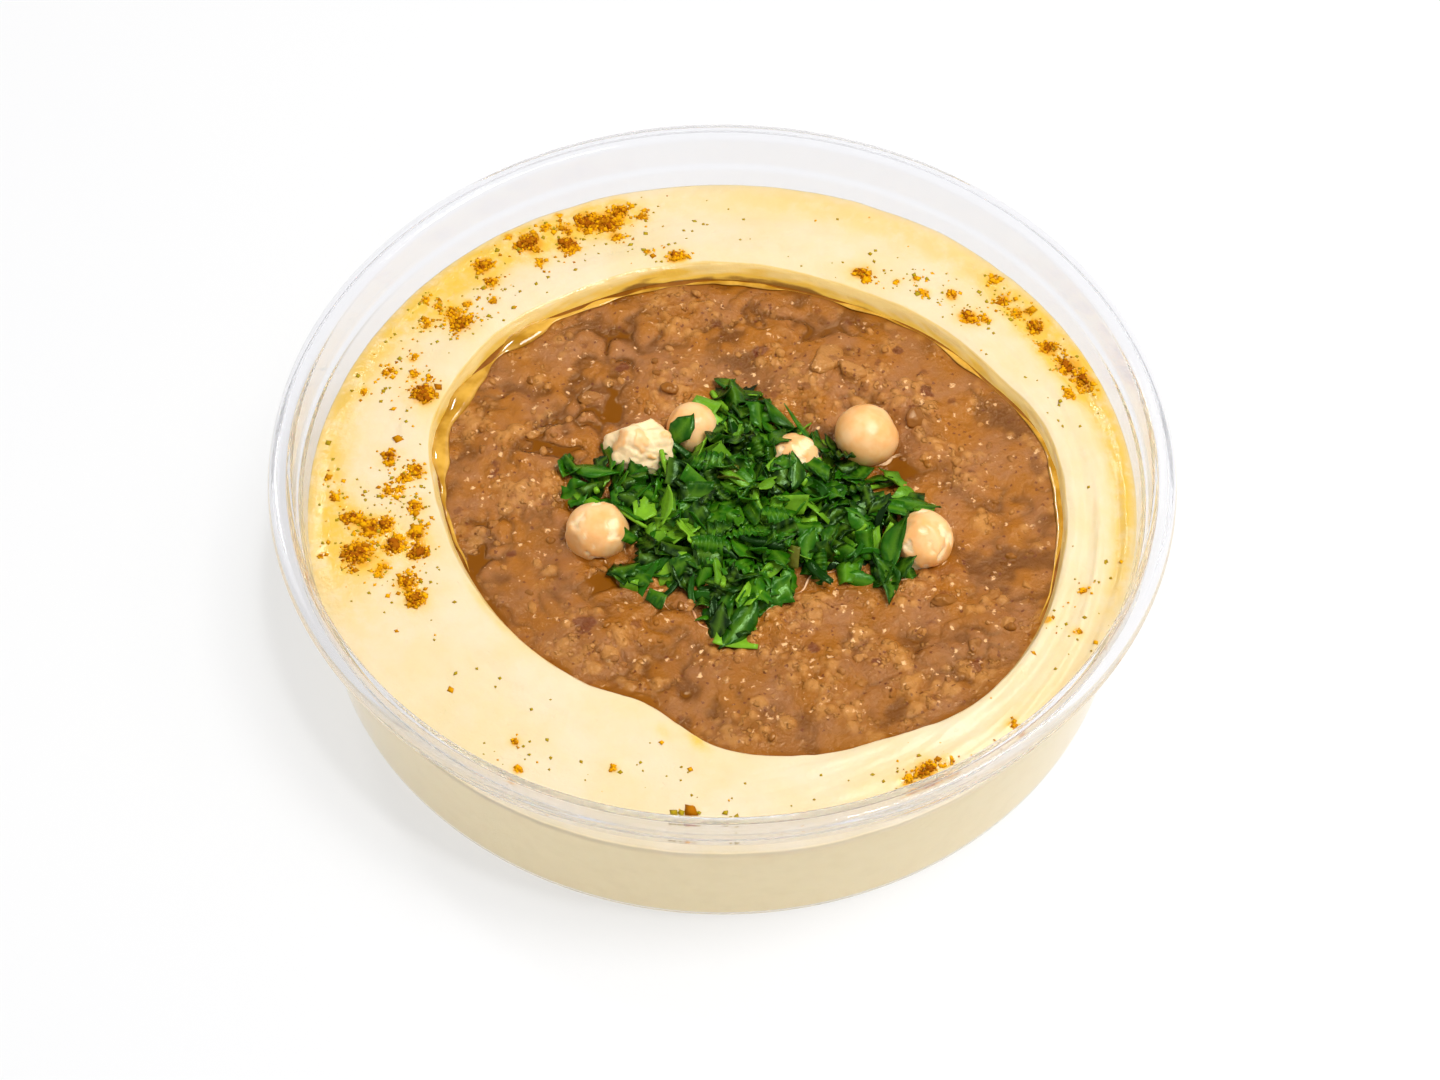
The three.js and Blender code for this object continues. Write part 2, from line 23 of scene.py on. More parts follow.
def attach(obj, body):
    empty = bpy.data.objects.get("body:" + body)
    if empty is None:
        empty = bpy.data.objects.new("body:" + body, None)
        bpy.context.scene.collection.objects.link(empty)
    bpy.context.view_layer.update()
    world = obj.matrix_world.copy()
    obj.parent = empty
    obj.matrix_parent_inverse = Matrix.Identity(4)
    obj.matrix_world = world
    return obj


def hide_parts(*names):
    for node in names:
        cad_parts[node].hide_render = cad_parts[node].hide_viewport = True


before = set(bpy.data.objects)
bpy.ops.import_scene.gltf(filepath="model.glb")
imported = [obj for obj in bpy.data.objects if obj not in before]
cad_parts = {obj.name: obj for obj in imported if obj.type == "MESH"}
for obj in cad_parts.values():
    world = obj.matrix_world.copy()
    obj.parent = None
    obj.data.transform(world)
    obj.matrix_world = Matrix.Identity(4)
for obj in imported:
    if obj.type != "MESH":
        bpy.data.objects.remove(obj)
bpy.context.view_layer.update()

LOG = logging.getLogger("bowl")
MM = 0.001
TURN = 2 * math.pi
RIGHT = 0.0
FAR = math.pi / 2
GAP = 0.3  # clearance between the solids of the frame
WAVES = ((0.9, 0.35, 0.4), (-0.5, 0.95, 1.9), (0.25, -1.15, 3.1), (1.3, 0.7, 4.4))

Array = np.ndarray
Rng = np.random.Generator
Colour = tuple[int, int, int]
Span = tuple[float, float]
Point = tuple[float, float, float]


# ---- Numbers and fields ----


def bump(distance: Array, radius: float | Array) -> Array:
    """A round bump that is 1 at its middle and has faded out by about twice its radius."""
    return np.exp(-((distance / radius) ** 2))


def towards(angle: Array, bearing: float, spread: float) -> Array:
    """How nearly an angle faces a bearing: 1 straight at it, fading over a spread in radians."""
    return bump(np.arccos(np.clip(np.cos(angle - bearing), -1, 1)), spread)


def ease(value: Array, low: float, high: float) -> Array:
    """A smooth step from 0 at low to 1 at high."""
    share = np.clip((value - low) / (high - low), 0, 1)
    return share * share * (3 - 2 * share)


def outline_radius(radii: Sequence[float], angle: Array) -> Array:
    """The radius of a closed outline at an angle.

    Args:
        radii: Evenly spaced radii, the first at angle 0.
        angle: Angles in radians.

    Returns:
        The radii between them, along one smooth curve.
    """
    values = np.asarray(radii, float)
    count = len(values)
    place = np.mod(angle / TURN * count, count)
    index = np.floor(place).astype(int)
    part = place - index
    before, here, after, beyond = (values[(index + step) % count] for step in (-1, 0, 1, 2))
    bend = (after - before) / 2
    next_bend = (beyond - here) / 2
    square = part * part
    cube = square * part
    return (
        (2 * cube - 3 * square + 1) * here
        + (cube - 2 * square + part) * bend
        + (3 * square - 2 * cube) * after
        + (cube - square) * next_bend
    )


def unevenness(x: Array, y: Array, wavelength: float) -> Array:
    """Soft unevenness, between about -1 and 1, from a few crossing waves."""
    k = TURN / wavelength
    return sum(np.sin(k * (u * x + v * y) + shift) for u, v, shift in WAVES) / len(WAVES)


def each(kind: type, *rows: tuple) -> tuple:
    """One object of a kind from each row of its values."""
    return tuple(itertools.starmap(kind, rows))


class Noise:
    """Smooth noise from gradients on a lattice, the same on every run."""

    SIZE = 2048

    def __init__(self, seed: int) -> None:
        """Draws the lattice's gradients.

        Args:
            seed: Seed of the draws.
        """
        rng = np.random.default_rng(seed)
        self.order = rng.permutation(self.SIZE)
        slopes = rng.normal(size=(self.SIZE, 3))
        self.slopes = slopes / np.linalg.norm(slopes, axis=1, keepdims=True)

    def at(self, points: Array, size: float, layers: int = 1) -> Array:
        """Noise between about -1 and 1.

        Args:
            points: Places as rows of x, y and z.
            size: Width of the largest waves.
            layers: How many times finer, fainter noise is added.

        Returns:
            One value for each point.
        """
        total = np.zeros(len(points))
        for layer in range(layers):
            total += self._single(points * (2**layer / size) + 7.3 * layer) * 0.5**layer
        return total

    def _single(self, places: Array) -> Array:
        """One layer of noise.

        Args:
            places: Places, on a scale where the waves are 1 long.

        Returns:
            One value for each place.
        """
        cell = np.floor(places).astype(int)
        part = places - cell
        fade = part**3 * (part * (part * 6 - 15) + 10)
        total = np.zeros(len(places))
        for corner in itertools.product((0, 1), repeat=3):
            at = cell + corner
            index = self.order[at[:, 0] % self.SIZE]
            index = self.order[(index + at[:, 1]) % self.SIZE]
            index = self.order[(index + at[:, 2]) % self.SIZE]
            weight = np.prod(np.where(corner, fade, 1 - fade), axis=1)
            total += weight * np.einsum("ij,ij->i", self.slopes[index], part - corner)
        return total * 1.7

    def over(self, x: Array, y: Array, size: float, layers: int = 1) -> Array:
        """The same noise over a plane, in the shape of x."""
        flat = np.stack([x.ravel(), y.ravel(), np.full(x.size, 0.5 * size)], axis=1)
        return self.at(flat, size, layers).reshape(x.shape)


class Raster:
    """A square map of heights about a middle, onto which small forms are stamped."""

    def __init__(self, middle: Span, half: float, cell: float) -> None:
        """Starts the map at height 0.

        Args:
            middle: x and y of its middle.
            half: Half of its side.
            cell: Side of one cell.
        """
        self.low = np.array(middle) - half
        self.cell = cell
        side = int(2 * half / cell) + 2
        self.grid = np.zeros((side, side))

    def places(self) -> tuple[Array, Array]:
        """The x and y of every cell."""
        steps = np.arange(len(self.grid)) * self.cell
        return np.meshgrid(self.low[0] + steps, self.low[1] + steps, indexing="ij")

    def stamp_domes(self, places: Array, radii: Array, heights: Array) -> None:
        """Raises the map to a dome at each place, and keeps the higher of dome and map.

        Args:
            places: The domes' middles, as rows of x and y.
            radii: Their radii.
            heights: Their heights.
        """
        for (x, y), radius, height in zip((places - self.low) / self.cell, radii / self.cell, heights):
            reach = int(radius) + 1
            i, j = int(round(x)), int(round(y))
            if min(i, j) < reach or max(i, j) + reach >= len(self.grid):
                continue
            steps = np.arange(-reach, reach + 1)
            away = np.hypot(steps[:, None] + i - x, steps[None, :] + j - y) / radius
            dome = height * np.clip(1 - away**2, 0, 1) ** 0.8
            window = self.grid[i - reach : i + reach + 1, j - reach : j + reach + 1]
            np.maximum(window, dome, out=window)

    def sample(self, x: Array, y: Array) -> Array:
        """Reads the map between its cells.

        Args:
            x: Places across.
            y: Places away.

        Returns:
            The height at each place.
        """
        last = len(self.grid) - 1.001
        u = np.clip((x - self.low[0]) / self.cell, 0, last)
        v = np.clip((y - self.low[1]) / self.cell, 0, last)
        i, j = u.astype(int), v.astype(int)
        s, t = u - i, v - j
        near = self.grid[i, j] * (1 - t) + self.grid[i, j + 1] * t
        far = self.grid[i + 1, j] * (1 - t) + self.grid[i + 1, j + 1] * t
        return near * (1 - s) + far * s


# ---- Meshes ----


@dataclass
class Shape:
    """Points in millimetres, the faces between them, and values that the finishes read."""

    points: Array
    faces: list[Sequence[int]]
    values: dict[str, Array] = field(default_factory=dict)

    def moved(self, matrix: Array, offset: Sequence[float]) -> "Shape":
        """This shape turned by a matrix and then moved."""
        return Shape(self.points @ matrix.T + np.asarray(offset, float), self.faces, self.values)

    def to_object(self, name: str, material: Material) -> Object:
        """Makes a smooth shaded mesh object in metres, linked to the scene.

        Args:
            name: The object's name.
            material: Its material.

        Returns:
            The object.
        """
        mesh = bpy.data.meshes.new(name)
        mesh.from_pydata((self.points * MM).tolist(), [], [list(face) for face in self.faces])
        for key, values in self.values.items():
            mesh.attributes.new(key, "FLOAT", "POINT").data.foreach_set("value", values.astype(np.float32))
        mesh.shade_smooth()
        mesh.materials.append(material)
        made = bpy.data.objects.new(name, mesh)
        bpy.context.scene.collection.objects.link(made)
        return made


def joined(shapes: Sequence[Shape]) -> Shape:
    """Joins shapes that carry the same values.

    Args:
        shapes: The shapes.

    Returns:
        One shape that holds them all.
    """
    starts = np.cumsum([0] + [len(shape.points) for shape in shapes])
    faces = [
        [corner + int(start) for corner in face]
        for shape, start in zip(shapes, starts)
        for face in shape.faces
    ]
    points = np.concatenate([shape.points for shape in shapes])
    keys = shapes[0].values
    return Shape(points, faces, {key: np.concatenate([s.values[key] for s in shapes]) for key in keys})


def ring_faces(rings: int, count: int, top: int, bottom: int) -> list[Sequence[int]]:
    """Faces of a closed body made of rings.

    Args:
        rings: How many rings there are, from the top's middle out and down.
        count: Points in each ring, anticlockwise from above.
        top: Index of the point that closes the first ring.
        bottom: Index of the point that closes the last ring.

    Returns:
        Triangles at both ends and quads between them, all facing out.
    """
    faces: list[Sequence[int]] = []
    last = (rings - 1) * count
    for step in range(count):
        after = (step + 1) % count
        faces.append((top, step, after))
        faces.append((bottom, last + after, last + step))
        for start in range(0, last, count):
            faces.append((start + step, start + count + step, start + count + after, start + after))
    return faces


def grid_faces(index: Array) -> tuple[Array, Array]:
    """Faces of a grid of points.

    Args:
        index: The points' indices, in the grid's rows and columns.

    Returns:
        Quads between the points, and the indices round the border, anticlockwise.
    """
    quads = np.stack([index[:-1, :-1], index[1:, :-1], index[1:, 1:], index[:-1, 1:]], axis=-1)
    loop = np.concatenate([index[:-1, 0], index[-1, :-1], index[:0:-1, -1], index[0, :0:-1]])
    return quads.reshape(-1, 4), loop


def turned(columns: Array, top: float, bottom: float) -> Shape:
    """A closed body about the tub's axis.

    Args:
        columns: Radius and height of each ring at each angle, shaped angles by rings by 2.
        top: Height of the middle of the upper side.
        bottom: Height of the middle of the lower side.

    Returns:
        The body, with its rings' points in order and the two middles last.
    """
    count, rings = columns.shape[:2]
    angle = np.arange(count) / count * TURN
    radius, height = columns[..., 0].T, columns[..., 1].T
    body = np.stack([radius * np.cos(angle), radius * np.sin(angle), height], axis=-1).reshape(-1, 3)
    points = np.concatenate([body, [[0, 0, top], [0, 0, bottom]]])
    return Shape(points, ring_faces(rings, count, len(body), len(body) + 1))


def rounded(corners: Sequence[tuple[float, float, float]], steps: int = 5) -> Array:
    """A profile with its corners rounded.

    Args:
        corners: Radius, height and rounding of each corner, in order.
        steps: Points along each rounding.

    Returns:
        Rows of radius and height.
    """
    rows: list[Array] = []
    places = np.array([corner[:2] for corner in corners], float)
    for index, (_, _, rounding) in enumerate(corners):
        here = places[index]
        if rounding == 0:
            rows.append(here)
            continue
        back, on = places[index - 1] - here, places[index + 1] - here
        back_length, on_length = np.linalg.norm(back), np.linalg.norm(on)
        reach = min(rounding, 0.48 * back_length, 0.48 * on_length)
        start = here + back / back_length * reach
        end = here + on / on_length * reach
        before = start + back / back_length * 0.04 * back_length
        after = end + on / on_length * 0.04 * on_length
        rows.append(before)
        for share in np.linspace(0, 1, steps + 1):
            rows.append((1 - share) ** 2 * start + 2 * share * (1 - share) * here + share**2 * end)
        rows.append(after)
    return np.array(rows)


def ball(around: int, rings: int) -> tuple[Array, list[Sequence[int]]]:
    """A unit ball.

    Args:
        around: Points in each ring.
        rings: Steps from pole to pole.

    Returns:
        Its points, with the poles last, and its faces.
    """
    tilt = np.arange(1, rings) / rings * math.pi
    angle = np.arange(around) / around * TURN
    ring = np.stack(
        [
            np.outer(np.sin(tilt), np.cos(angle)),
            np.outer(np.sin(tilt), np.sin(angle)),
            np.outer(np.cos(tilt), np.ones(around)),
        ],
        axis=-1,
    ).reshape(-1, 3)
    points = np.concatenate([ring, [[0, 0, 1], [0, 0, -1]]])
    return points, ring_faces(rings - 1, around, len(ring), len(ring) + 1)


def cut_flat(
    unit: Array, radii: Array, rng: Rng, cuts: int, depths: Span, soft: float = 0.02
) -> Array:
    """A round body's radii with flat places cut on it.

    Args:
        unit: Directions from the middle.
        radii: Radius in each direction.
        rng: Source of the cuts' directions and depths.
        cuts: How many flat places.
        depths: Least and greatest distance of a cut from the middle.
        soft: How far the cuts' edges are rounded.

    Returns:
        The radii that are left.
    """
    for _ in range(cuts):
        heading = rng.normal(size=3)
        heading /= np.linalg.norm(heading)
        plane = rng.uniform(*depths) / np.clip(unit @ heading, 0.05, 1)
        radii = 0.5 * (radii + plane - np.sqrt((radii - plane) ** 2 + soft**2))
    return radii


def tube(centres: Array, radii: Array, sides: int, flat: float = 1.0) -> Shape:
    """A closed tube along a line, with pointed ends.

    Args:
        centres: Points along the line.
        radii: The tube's radius at each point.
        sides: Points round the tube.
        flat: Its height as a share of its width.

    Returns:
        The tube.
    """
    along = np.gradient(centres, axis=0)
    along /= np.linalg.norm(along, axis=1, keepdims=True)
    across = np.cross(along, [0.1, 0.2, 1.0])
    across /= np.linalg.norm(across, axis=1, keepdims=True)
    up = np.cross(across, along) * flat
    angle = np.arange(sides) / sides * TURN
    ring = np.cos(angle)[None, :, None] * across[:, None] + np.sin(angle)[None, :, None] * up[:, None]
    body = (centres[:, None] + ring * radii[:, None, None]).reshape(-1, 3)
    points = np.concatenate([body, centres[:1], centres[-1:]])
    faces = ring_faces(len(centres), sides, len(body), len(body) + 1)
    return Shape(points, [tuple(reversed(face)) for face in faces])


def spin(turn: float, tip: float, roll: float = 0.0) -> Array:
    """A rotation: rolled about X, tipped about Y and then turned about Z, in radians."""
    matrix = Matrix.Rotation(turn, 3, "Z") @ Matrix.Rotation(tip, 3, "Y") @ Matrix.Rotation(roll, 3, "X")
    return np.array(matrix)


def settle(piece: Object, slot: str, *nodes: str) -> None:
    """Lets a finished piece ride on the bowl.

    Args:
        piece: The piece.
        slot: Not used.
        nodes: The solids that it stands for.
    """
    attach(piece, "root")
    if nodes:
        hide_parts(*nodes)
    LOG.info("%s: %d faces", piece.name, len(piece.data.polygons))


# ---- Shader graphs ----


def srgb(colour: Colour) -> tuple[float, float, float, float]:
    """A linear colour, with full alpha, from its 0 to 255 values on a screen."""
    shares = (value / 255 for value in colour)
    return (*(s / 12.92 if s <= 0.04045 else ((s + 0.055) / 1.055) ** 2.4 for s in shares), 1.0)


class Graph:
    """Adds nodes to a shader tree. Inputs are sockets or plain values."""

    def __init__(self, tree: NodeTree) -> None:
        """Takes the tree that the nodes go into."""
        self.tree = tree

    def add(self, kind: str, inputs: dict[str | int, Any], **settings: Any) -> Node:
        """Adds a node.

        Args:
            kind: The node's type.
            inputs: What its sockets are fed with or set to.
            settings: Its other settings, which come first.

        Returns:
            The new node.
        """
        node = self.tree.nodes.new(kind)
        for name, value in settings.items():
            setattr(node, name, value)
        for name, value in inputs.items():
            self.feed(node.inputs[name], value)
        return node

    def feed(self, socket: Socket, value: Any) -> None:
        """Links a socket to another, or sets its plain value.

        Args:
            socket: The input to feed.
            value: A socket or a plain value.
        """
        if isinstance(value, Socket):
            self.tree.links.new(value, socket)
        else:
            socket.default_value = value

    def value(self, name: str) -> Socket:
        """A value that the mesh carries at its points."""
        return self.add("ShaderNodeAttribute", {}, attribute_name=name).outputs["Fac"]

    def math(self, operation: str, first: Any, second: Any) -> Socket:
        """One step on two numbers."""
        return self.add("ShaderNodeMath", {0: first, 1: second}, operation=operation).outputs[0]

    def times(self, first: Any, second: Any) -> Socket:
        """The product of two numbers."""
        return self.math("MULTIPLY", first, second)

    def span(self, value: Socket, low: float, high: float, to_low: float = 0, to_high: float = 1) -> Socket:
        """A value moved smoothly from one span to another, and kept inside it."""
        inputs = {"Value": value, "From Min": low, "From Max": high, "To Min": to_low, "To Max": to_high}
        return self.add("ShaderNodeMapRange", inputs, interpolation_type="SMOOTHSTEP").outputs["Result"]

    def mix(self, share: Any, first: Any, second: Any) -> Socket:
        """Passes one colour into another by a share. Each is a socket or a Colour."""
        first, second = (srgb(end) if isinstance(end, tuple) else end for end in (first, second))
        return self.add("ShaderNodeMix", {0: share, 6: first, 7: second}, data_type="RGBA").outputs[2]

    def noise(self, place: Socket, size: Any, detail: float = 2.0, rough: float = 0.5) -> Socket:
        """Soft noise from 0 to 1.

        Args:
            place: Where the noise is read, in millimetres.
            size: Width of its waves in millimetres.
            detail: How many times finer noise is added.
            rough: How strong the finer noise is.

        Returns:
            The noise.
        """
        scale = self.math("DIVIDE", 1.0, size) if isinstance(size, Socket) else 1 / size
        inputs = {"Vector": place, "Scale": scale, "Detail": detail, "Roughness": rough}
        return self.add("ShaderNodeTexNoise", inputs).outputs["Fac"]


class Kind(Enum):
    """The kinds of socket that the node groups have."""

    NUMBER = "NodeSocketFloat"
    VECTOR = "NodeSocketVector"


class Groups:
    """The effects that more than one finish uses, each built once."""

    def __init__(self) -> None:
        """Builds the groups."""
        self.specks = self._specks()
        self.mottle = self._mottle()
        self.relief = self._relief()

    @staticmethod
    def _start(name: str, output: str, *numbers: str) -> tuple[Graph, Any, Socket]:
        """Starts a group that reads a place and some numbers.

        Args:
            name: The group's name.
            output: Name of the number that it puts out.
            numbers: Names of the numbers that it reads besides Place.

        Returns:
            Its graph, its inputs and the socket to feed.
        """
        tree = bpy.data.node_groups.new(name, "ShaderNodeTree")
        for label, kind in {"Place": Kind.VECTOR, **dict.fromkeys(numbers, Kind.NUMBER)}.items():
            tree.interface.new_socket(name=label, in_out="INPUT", socket_type=kind.value)
        tree.interface.new_socket(name=output, in_out="OUTPUT", socket_type=Kind.NUMBER.value)
        graph = Graph(tree)
        start = graph.add("NodeGroupInput", {})
        end = graph.add("NodeGroupOutput", {})
        return graph, start.outputs, end.inputs[output]

    def _specks(self) -> NodeTree:
        """Builds the mask of small specks.

        Returns:
            A group whose mask is 1 on a share of the cells, each as wide as Size.
        """
        graph, given, out = self._start("specks", "Mask", "Size", "Share")
        place, size = given["Place"], given["Size"]
        scale = graph.math("DIVIDE", 1.0, size)
        torn = graph.add("ShaderNodeTexNoise", {"Vector": place, "Scale": graph.times(scale, 1.7)})
        ragged = {0: torn.outputs["Color"], "Scale": size}
        shift = graph.add("ShaderNodeVectorMath", ragged, operation="SCALE").outputs["Vector"]
        moved = graph.add("ShaderNodeVectorMath", {0: place, 1: shift}).outputs["Vector"]
        cells = graph.add("ShaderNodeTexVoronoi", {"Vector": moved, "Scale": scale}).outputs
        chance = graph.add("ShaderNodeSeparateColor", {"Color": cells["Color"]}).outputs["Red"]
        chosen = graph.math("LESS_THAN", chance, given["Share"])
        graph.feed(out, graph.times(chosen, graph.span(cells["Distance"], 0.45, 0.2)))
        return graph.tree

    def _mottle(self) -> NodeTree:
        """Builds the mask of soft patches.

        Returns:
            A group whose mask is 0 to 1, with patches as wide as Size.
        """
        graph, given, out = self._start("mottle", "Mask", "Size")
        graph.feed(out, graph.span(graph.noise(given["Place"], given["Size"], 3.0, 0.55), 0.34, 0.66))
        return graph.tree

    def _relief(self) -> NodeTree:
        """Builds the fine relief.

        Returns:
            A group with heights of a grain as wide as Size, and finer grain on it.
        """
        graph, given, out = self._start("relief", "Height", "Size")
        graph.feed(out, graph.noise(given["Place"], given["Size"], 4.0, 0.6))
        return graph.tree


@functools.cache
def effects() -> Groups:
    """The shared effects, built once."""
    return Groups()


class Paint(Graph):
    """A new material: its graph, its shader and the place on the object."""

    def __init__(self, name: str) -> None:
        """Starts the material.

        Args:
            name: The material's name.
        """
        self.material = bpy.data.materials.new(name)
        self.material.use_nodes = True
        super().__init__(self.material.node_tree)
        self.shader = self.tree.nodes["Principled BSDF"]
        where = self.add("ShaderNodeTexCoord", {}).outputs["Object"]
        scaled = self.add("ShaderNodeVectorMath", {0: where, "Scale": 1 / MM}, operation="SCALE")
        self.place = scaled.outputs["Vector"]

    def put(self, socket: str, value: Any) -> None:
        """Feeds or sets one input of the shader."""
        self.feed(self.shader.inputs[socket], value)

    def _group(self, tree: NodeTree, **numbers: float) -> Socket:
        """The output of a group, placed with some numbers."""
        return self.add("ShaderNodeGroup", {"Place": self.place, **numbers}, node_tree=tree).outputs[0]

    def mottle(self, size: float) -> Socket:
        """A mask of soft patches as wide as a size."""
        return self._group(effects().mottle, Size=size)

    def relief(self, size: float) -> Socket:
        """Heights of a grain as wide as a size."""
        return self._group(effects().relief, Size=size)

    def specks(self, size: float, share: float) -> Socket:
        """A mask of specks as wide as a size, in a share of the places for them."""
        return self._group(effects().specks, Size=size, Share=share)

    def emboss(self, height: Socket, depth: float) -> None:
        """Feeds the shader's normal from heights between 0 and 1 and a depth in millimetres."""
        inputs = {"Height": height, "Distance": depth * MM, "Strength": 1.0}
        self.put("Normal", self.add("ShaderNodeBump", inputs).outputs["Normal"])


# ---- Finishes ----


@dataclass(frozen=True)
class Finish:
    """What every finish shares: its name, its shader's constants and the sizes of its pattern."""

    name: str
    roughness: float = 0.5
    ior: float = 1.45
    coat: float = 0.0
    coat_roughness: float = 0.1
    subsurface: float = 0.0
    subsurface_depth: float = 1.0
    specular: float = 0.5
    glint: tuple[float, float, float] = (1.0, 1.0, 1.0)
    patch: float = 5.0
    ripple: float = 1.0
    depth: float = 0.05

    def make(self) -> Material:
        """Makes the finish as a material.

        Returns:
            The material, with its constants set and its shader fed by dress.
        """
        paint = Paint(self.name)
        constants = {
            "Roughness": self.roughness,
            "IOR": self.ior,
            "Specular IOR Level": self.specular,
            "Specular Tint": (*self.glint, 1.0),
            "Coat Weight": self.coat,
            "Coat Roughness": self.coat_roughness,
            "Subsurface Weight": self.subsurface,
            "Subsurface Scale": self.subsurface_depth * MM,
            "Subsurface Radius": (1.0, 0.6, 0.3),
        }
        for socket, value in constants.items():
            paint.put(socket, value)
        self.dress(paint)
        return paint.material

    def dress(self, paint: Paint) -> None:
        """Feeds the shader with what changes over the surface."""
        raise NotImplementedError


@dataclass(frozen=True)
class ClearPlastic(Finish):
    """Thin clear moulded plastic, which lamps shine through."""

    clear: float = 0.94
    tint: Colour = (244, 244, 247)
    shade: Colour = (247, 248, 249)
    ripple: float = 9.0

    def dress(self, paint: Paint) -> None:
        """Lets light through the wall, with no hard shadow behind it.

        Args:
            paint: The material.
        """
        paint.put("Transmission Weight", self.clear)
        paint.put("Base Color", srgb(self.tint))
        paint.emboss(paint.relief(self.ripple), self.depth)
        clear = paint.add("ShaderNodeBsdfTransparent", {"Color": srgb(self.shade)}).outputs[0]
        path = paint.add("ShaderNodeLightPath", {}).outputs
        unseen = paint.math("MAXIMUM", path["Is Shadow Ray"], path["Is Diffuse Ray"])
        both = paint.add("ShaderNodeMixShader", {0: unseen, 1: paint.shader.outputs[0], 2: clear})
        paint.feed(paint.tree.nodes["Material Output"].inputs["Surface"], both.outputs[0])


@dataclass(frozen=True)
class HummusFinish(Finish):
    """Smooth cream paste, with golden oil stains, an amber film in the well, and its outer side painted
    lighter as painted light.
    """

    cream: Colour = (224, 205, 170)
    shadow_cream: Colour = (221, 200, 154)
    painted_lit_side_cream: Colour = (254, 230, 176)
    golden: Colour = (226, 182, 64)
    powder: Colour = (222, 150, 12)
    tan: Colour = (218, 186, 116)
    honey: Colour = (212, 166, 58)
    amber: Colour = (126, 82, 4)
    tan_film: Span = (0.05, 0.3)
    honey_film: Span = (0.45, 0.78)
    amber_film: Span = (0.84, 1.06)
    wet_roughness: float = 0.12
    patch: float = 14.0
    ripple: float = 1.1
    depth: float = 0.1

    def dress(self, paint: Paint) -> None:
        """Lays stains, powder and the film over the cream, and paints the outer side lighter as painted
        light.

        Args:
            paint: The material.
        """
        paste = paint.mix(paint.mottle(self.patch), self.cream, self.shadow_cream)
        # Painted light: the outer side, seen through the tub's wall, is painted a lighter cream than the top.
        paste = paint.mix(paint.value("side"), paste, self.painted_lit_side_cream)
        ragged = paint.noise(paint.place, 3.0, 4.0, 0.6)
        stain = paint.times(paint.value("stain"), paint.span(ragged, 0.2, 0.62, 0.35, 1.0))
        paste = paint.mix(stain, paste, self.golden)
        powder = paint.span(paint.times(paint.value("powder"), ragged), 0.08, 0.3)
        paste = paint.mix(paint.times(powder, 0.85), paste, self.powder)
        film = paint.math("ADD", paint.value("film"), paint.times(ragged, 0.16))
        paste = paint.mix(paint.span(film, *self.tan_film), paste, self.tan)
        paste = paint.mix(paint.span(film, *self.honey_film), paste, self.honey)
        paste = paint.mix(paint.span(film, *self.amber_film), paste, self.amber)
        paint.put("Base Color", paste)
        wet = paint.math("MAXIMUM", paint.value("film"), paint.times(stain, 0.6))
        paint.put("Roughness", paint.span(wet, 0.0, 0.7, self.roughness, self.wet_roughness))
        pits = paint.specks(1.3, 0.05)
        paint.emboss(paint.math("SUBTRACT", paint.relief(self.ripple), paint.times(pits, 0.35)), self.depth)


@dataclass(frozen=True)
class MashFinish(Finish):
    """Mashed fava beans: mauve and orange browns, pale grains, dark skins, pools of oil, painted shade in the
    hollows and painted highlight specks.
    """

    mauve: Colour = (158, 102, 58)
    orange: Colour = (162, 96, 20)
    amber: Colour = (96, 48, 2)
    grain: Colour = (200, 138, 68)
    skin: Colour = (96, 32, 16)
    oil: Colour = (124, 70, 4)
    painted_glint: Colour = (250, 200, 142)
    bead: float = 1.2
    torn_skin: float = 2.4
    dark_speck: float = 0.8
    painted_glint_speck: float = 1.3
    patch: float = 7.0
    fine_patch: float = 1.8
    dull_patch: float = 11.0
    ripple: float = 0.9
    depth: float = 0.65

    def dress(self, paint: Paint) -> None:
        """Lays grains, skins, oil, painted shade in the hollows and painted highlight specks over the browns.

        Args:
            paint: The material.
        """
        mash = paint.mix(paint.mottle(self.patch), self.mauve, self.orange)
        mash = paint.mix(paint.times(paint.mottle(self.fine_patch), 0.4), mash, self.orange)
        # Painted shade: dark amber in the hollows, partly oil pooled there, and darker towards the front.
        mash = paint.mix(paint.times(paint.value("hollow_shade"), 0.85), mash, self.amber)
        beads = paint.times(paint.specks(self.bead, 0.5), paint.value("crowd"))
        pale = paint.math("MAXIMUM", paint.value("grain"), beads)
        mash = paint.mix(paint.times(pale, 0.6), mash, self.grain)
        dark = paint.times(paint.specks(self.dark_speck, 0.12), 0.8)
        skins = paint.math("MAXIMUM", dark, paint.times(paint.specks(self.torn_skin, 0.03), 0.5))
        mash = paint.mix(paint.math("MAXIMUM", skins, paint.value("skin")), mash, self.skin)
        oil = paint.value("oil")
        mash = paint.mix(paint.times(oil, 0.75), mash, self.oil)
        # Painted highlights: pale peach specks, broken up and kept off the oil, stand in for wet sparkles.
        broken_up = paint.span(paint.noise(paint.place, 0.9), 0.5, 0.6, 0.0, 0.85)
        wet = paint.times(paint.specks(self.painted_glint_speck, 0.34), broken_up)
        wet = paint.times(wet, paint.span(oil, 0.4, 0.0))
        paint.put("Base Color", paint.mix(wet, mash, self.painted_glint))
        glossiest, dullest = 0.6 * self.roughness, 1.7 * self.roughness
        rough = paint.span(paint.mottle(self.dull_patch), 0.0, 1.0, glossiest, dullest)
        paint.put("Roughness", paint.math("SUBTRACT", rough, paint.times(oil, 0.05)))
        height = paint.math("ADD", paint.times(paint.relief(self.ripple), 0.8), paint.times(beads, 0.5))
        paint.emboss(paint.times(height, paint.span(oil, 0.0, 1.0, 1.0, 0.05)), self.depth)


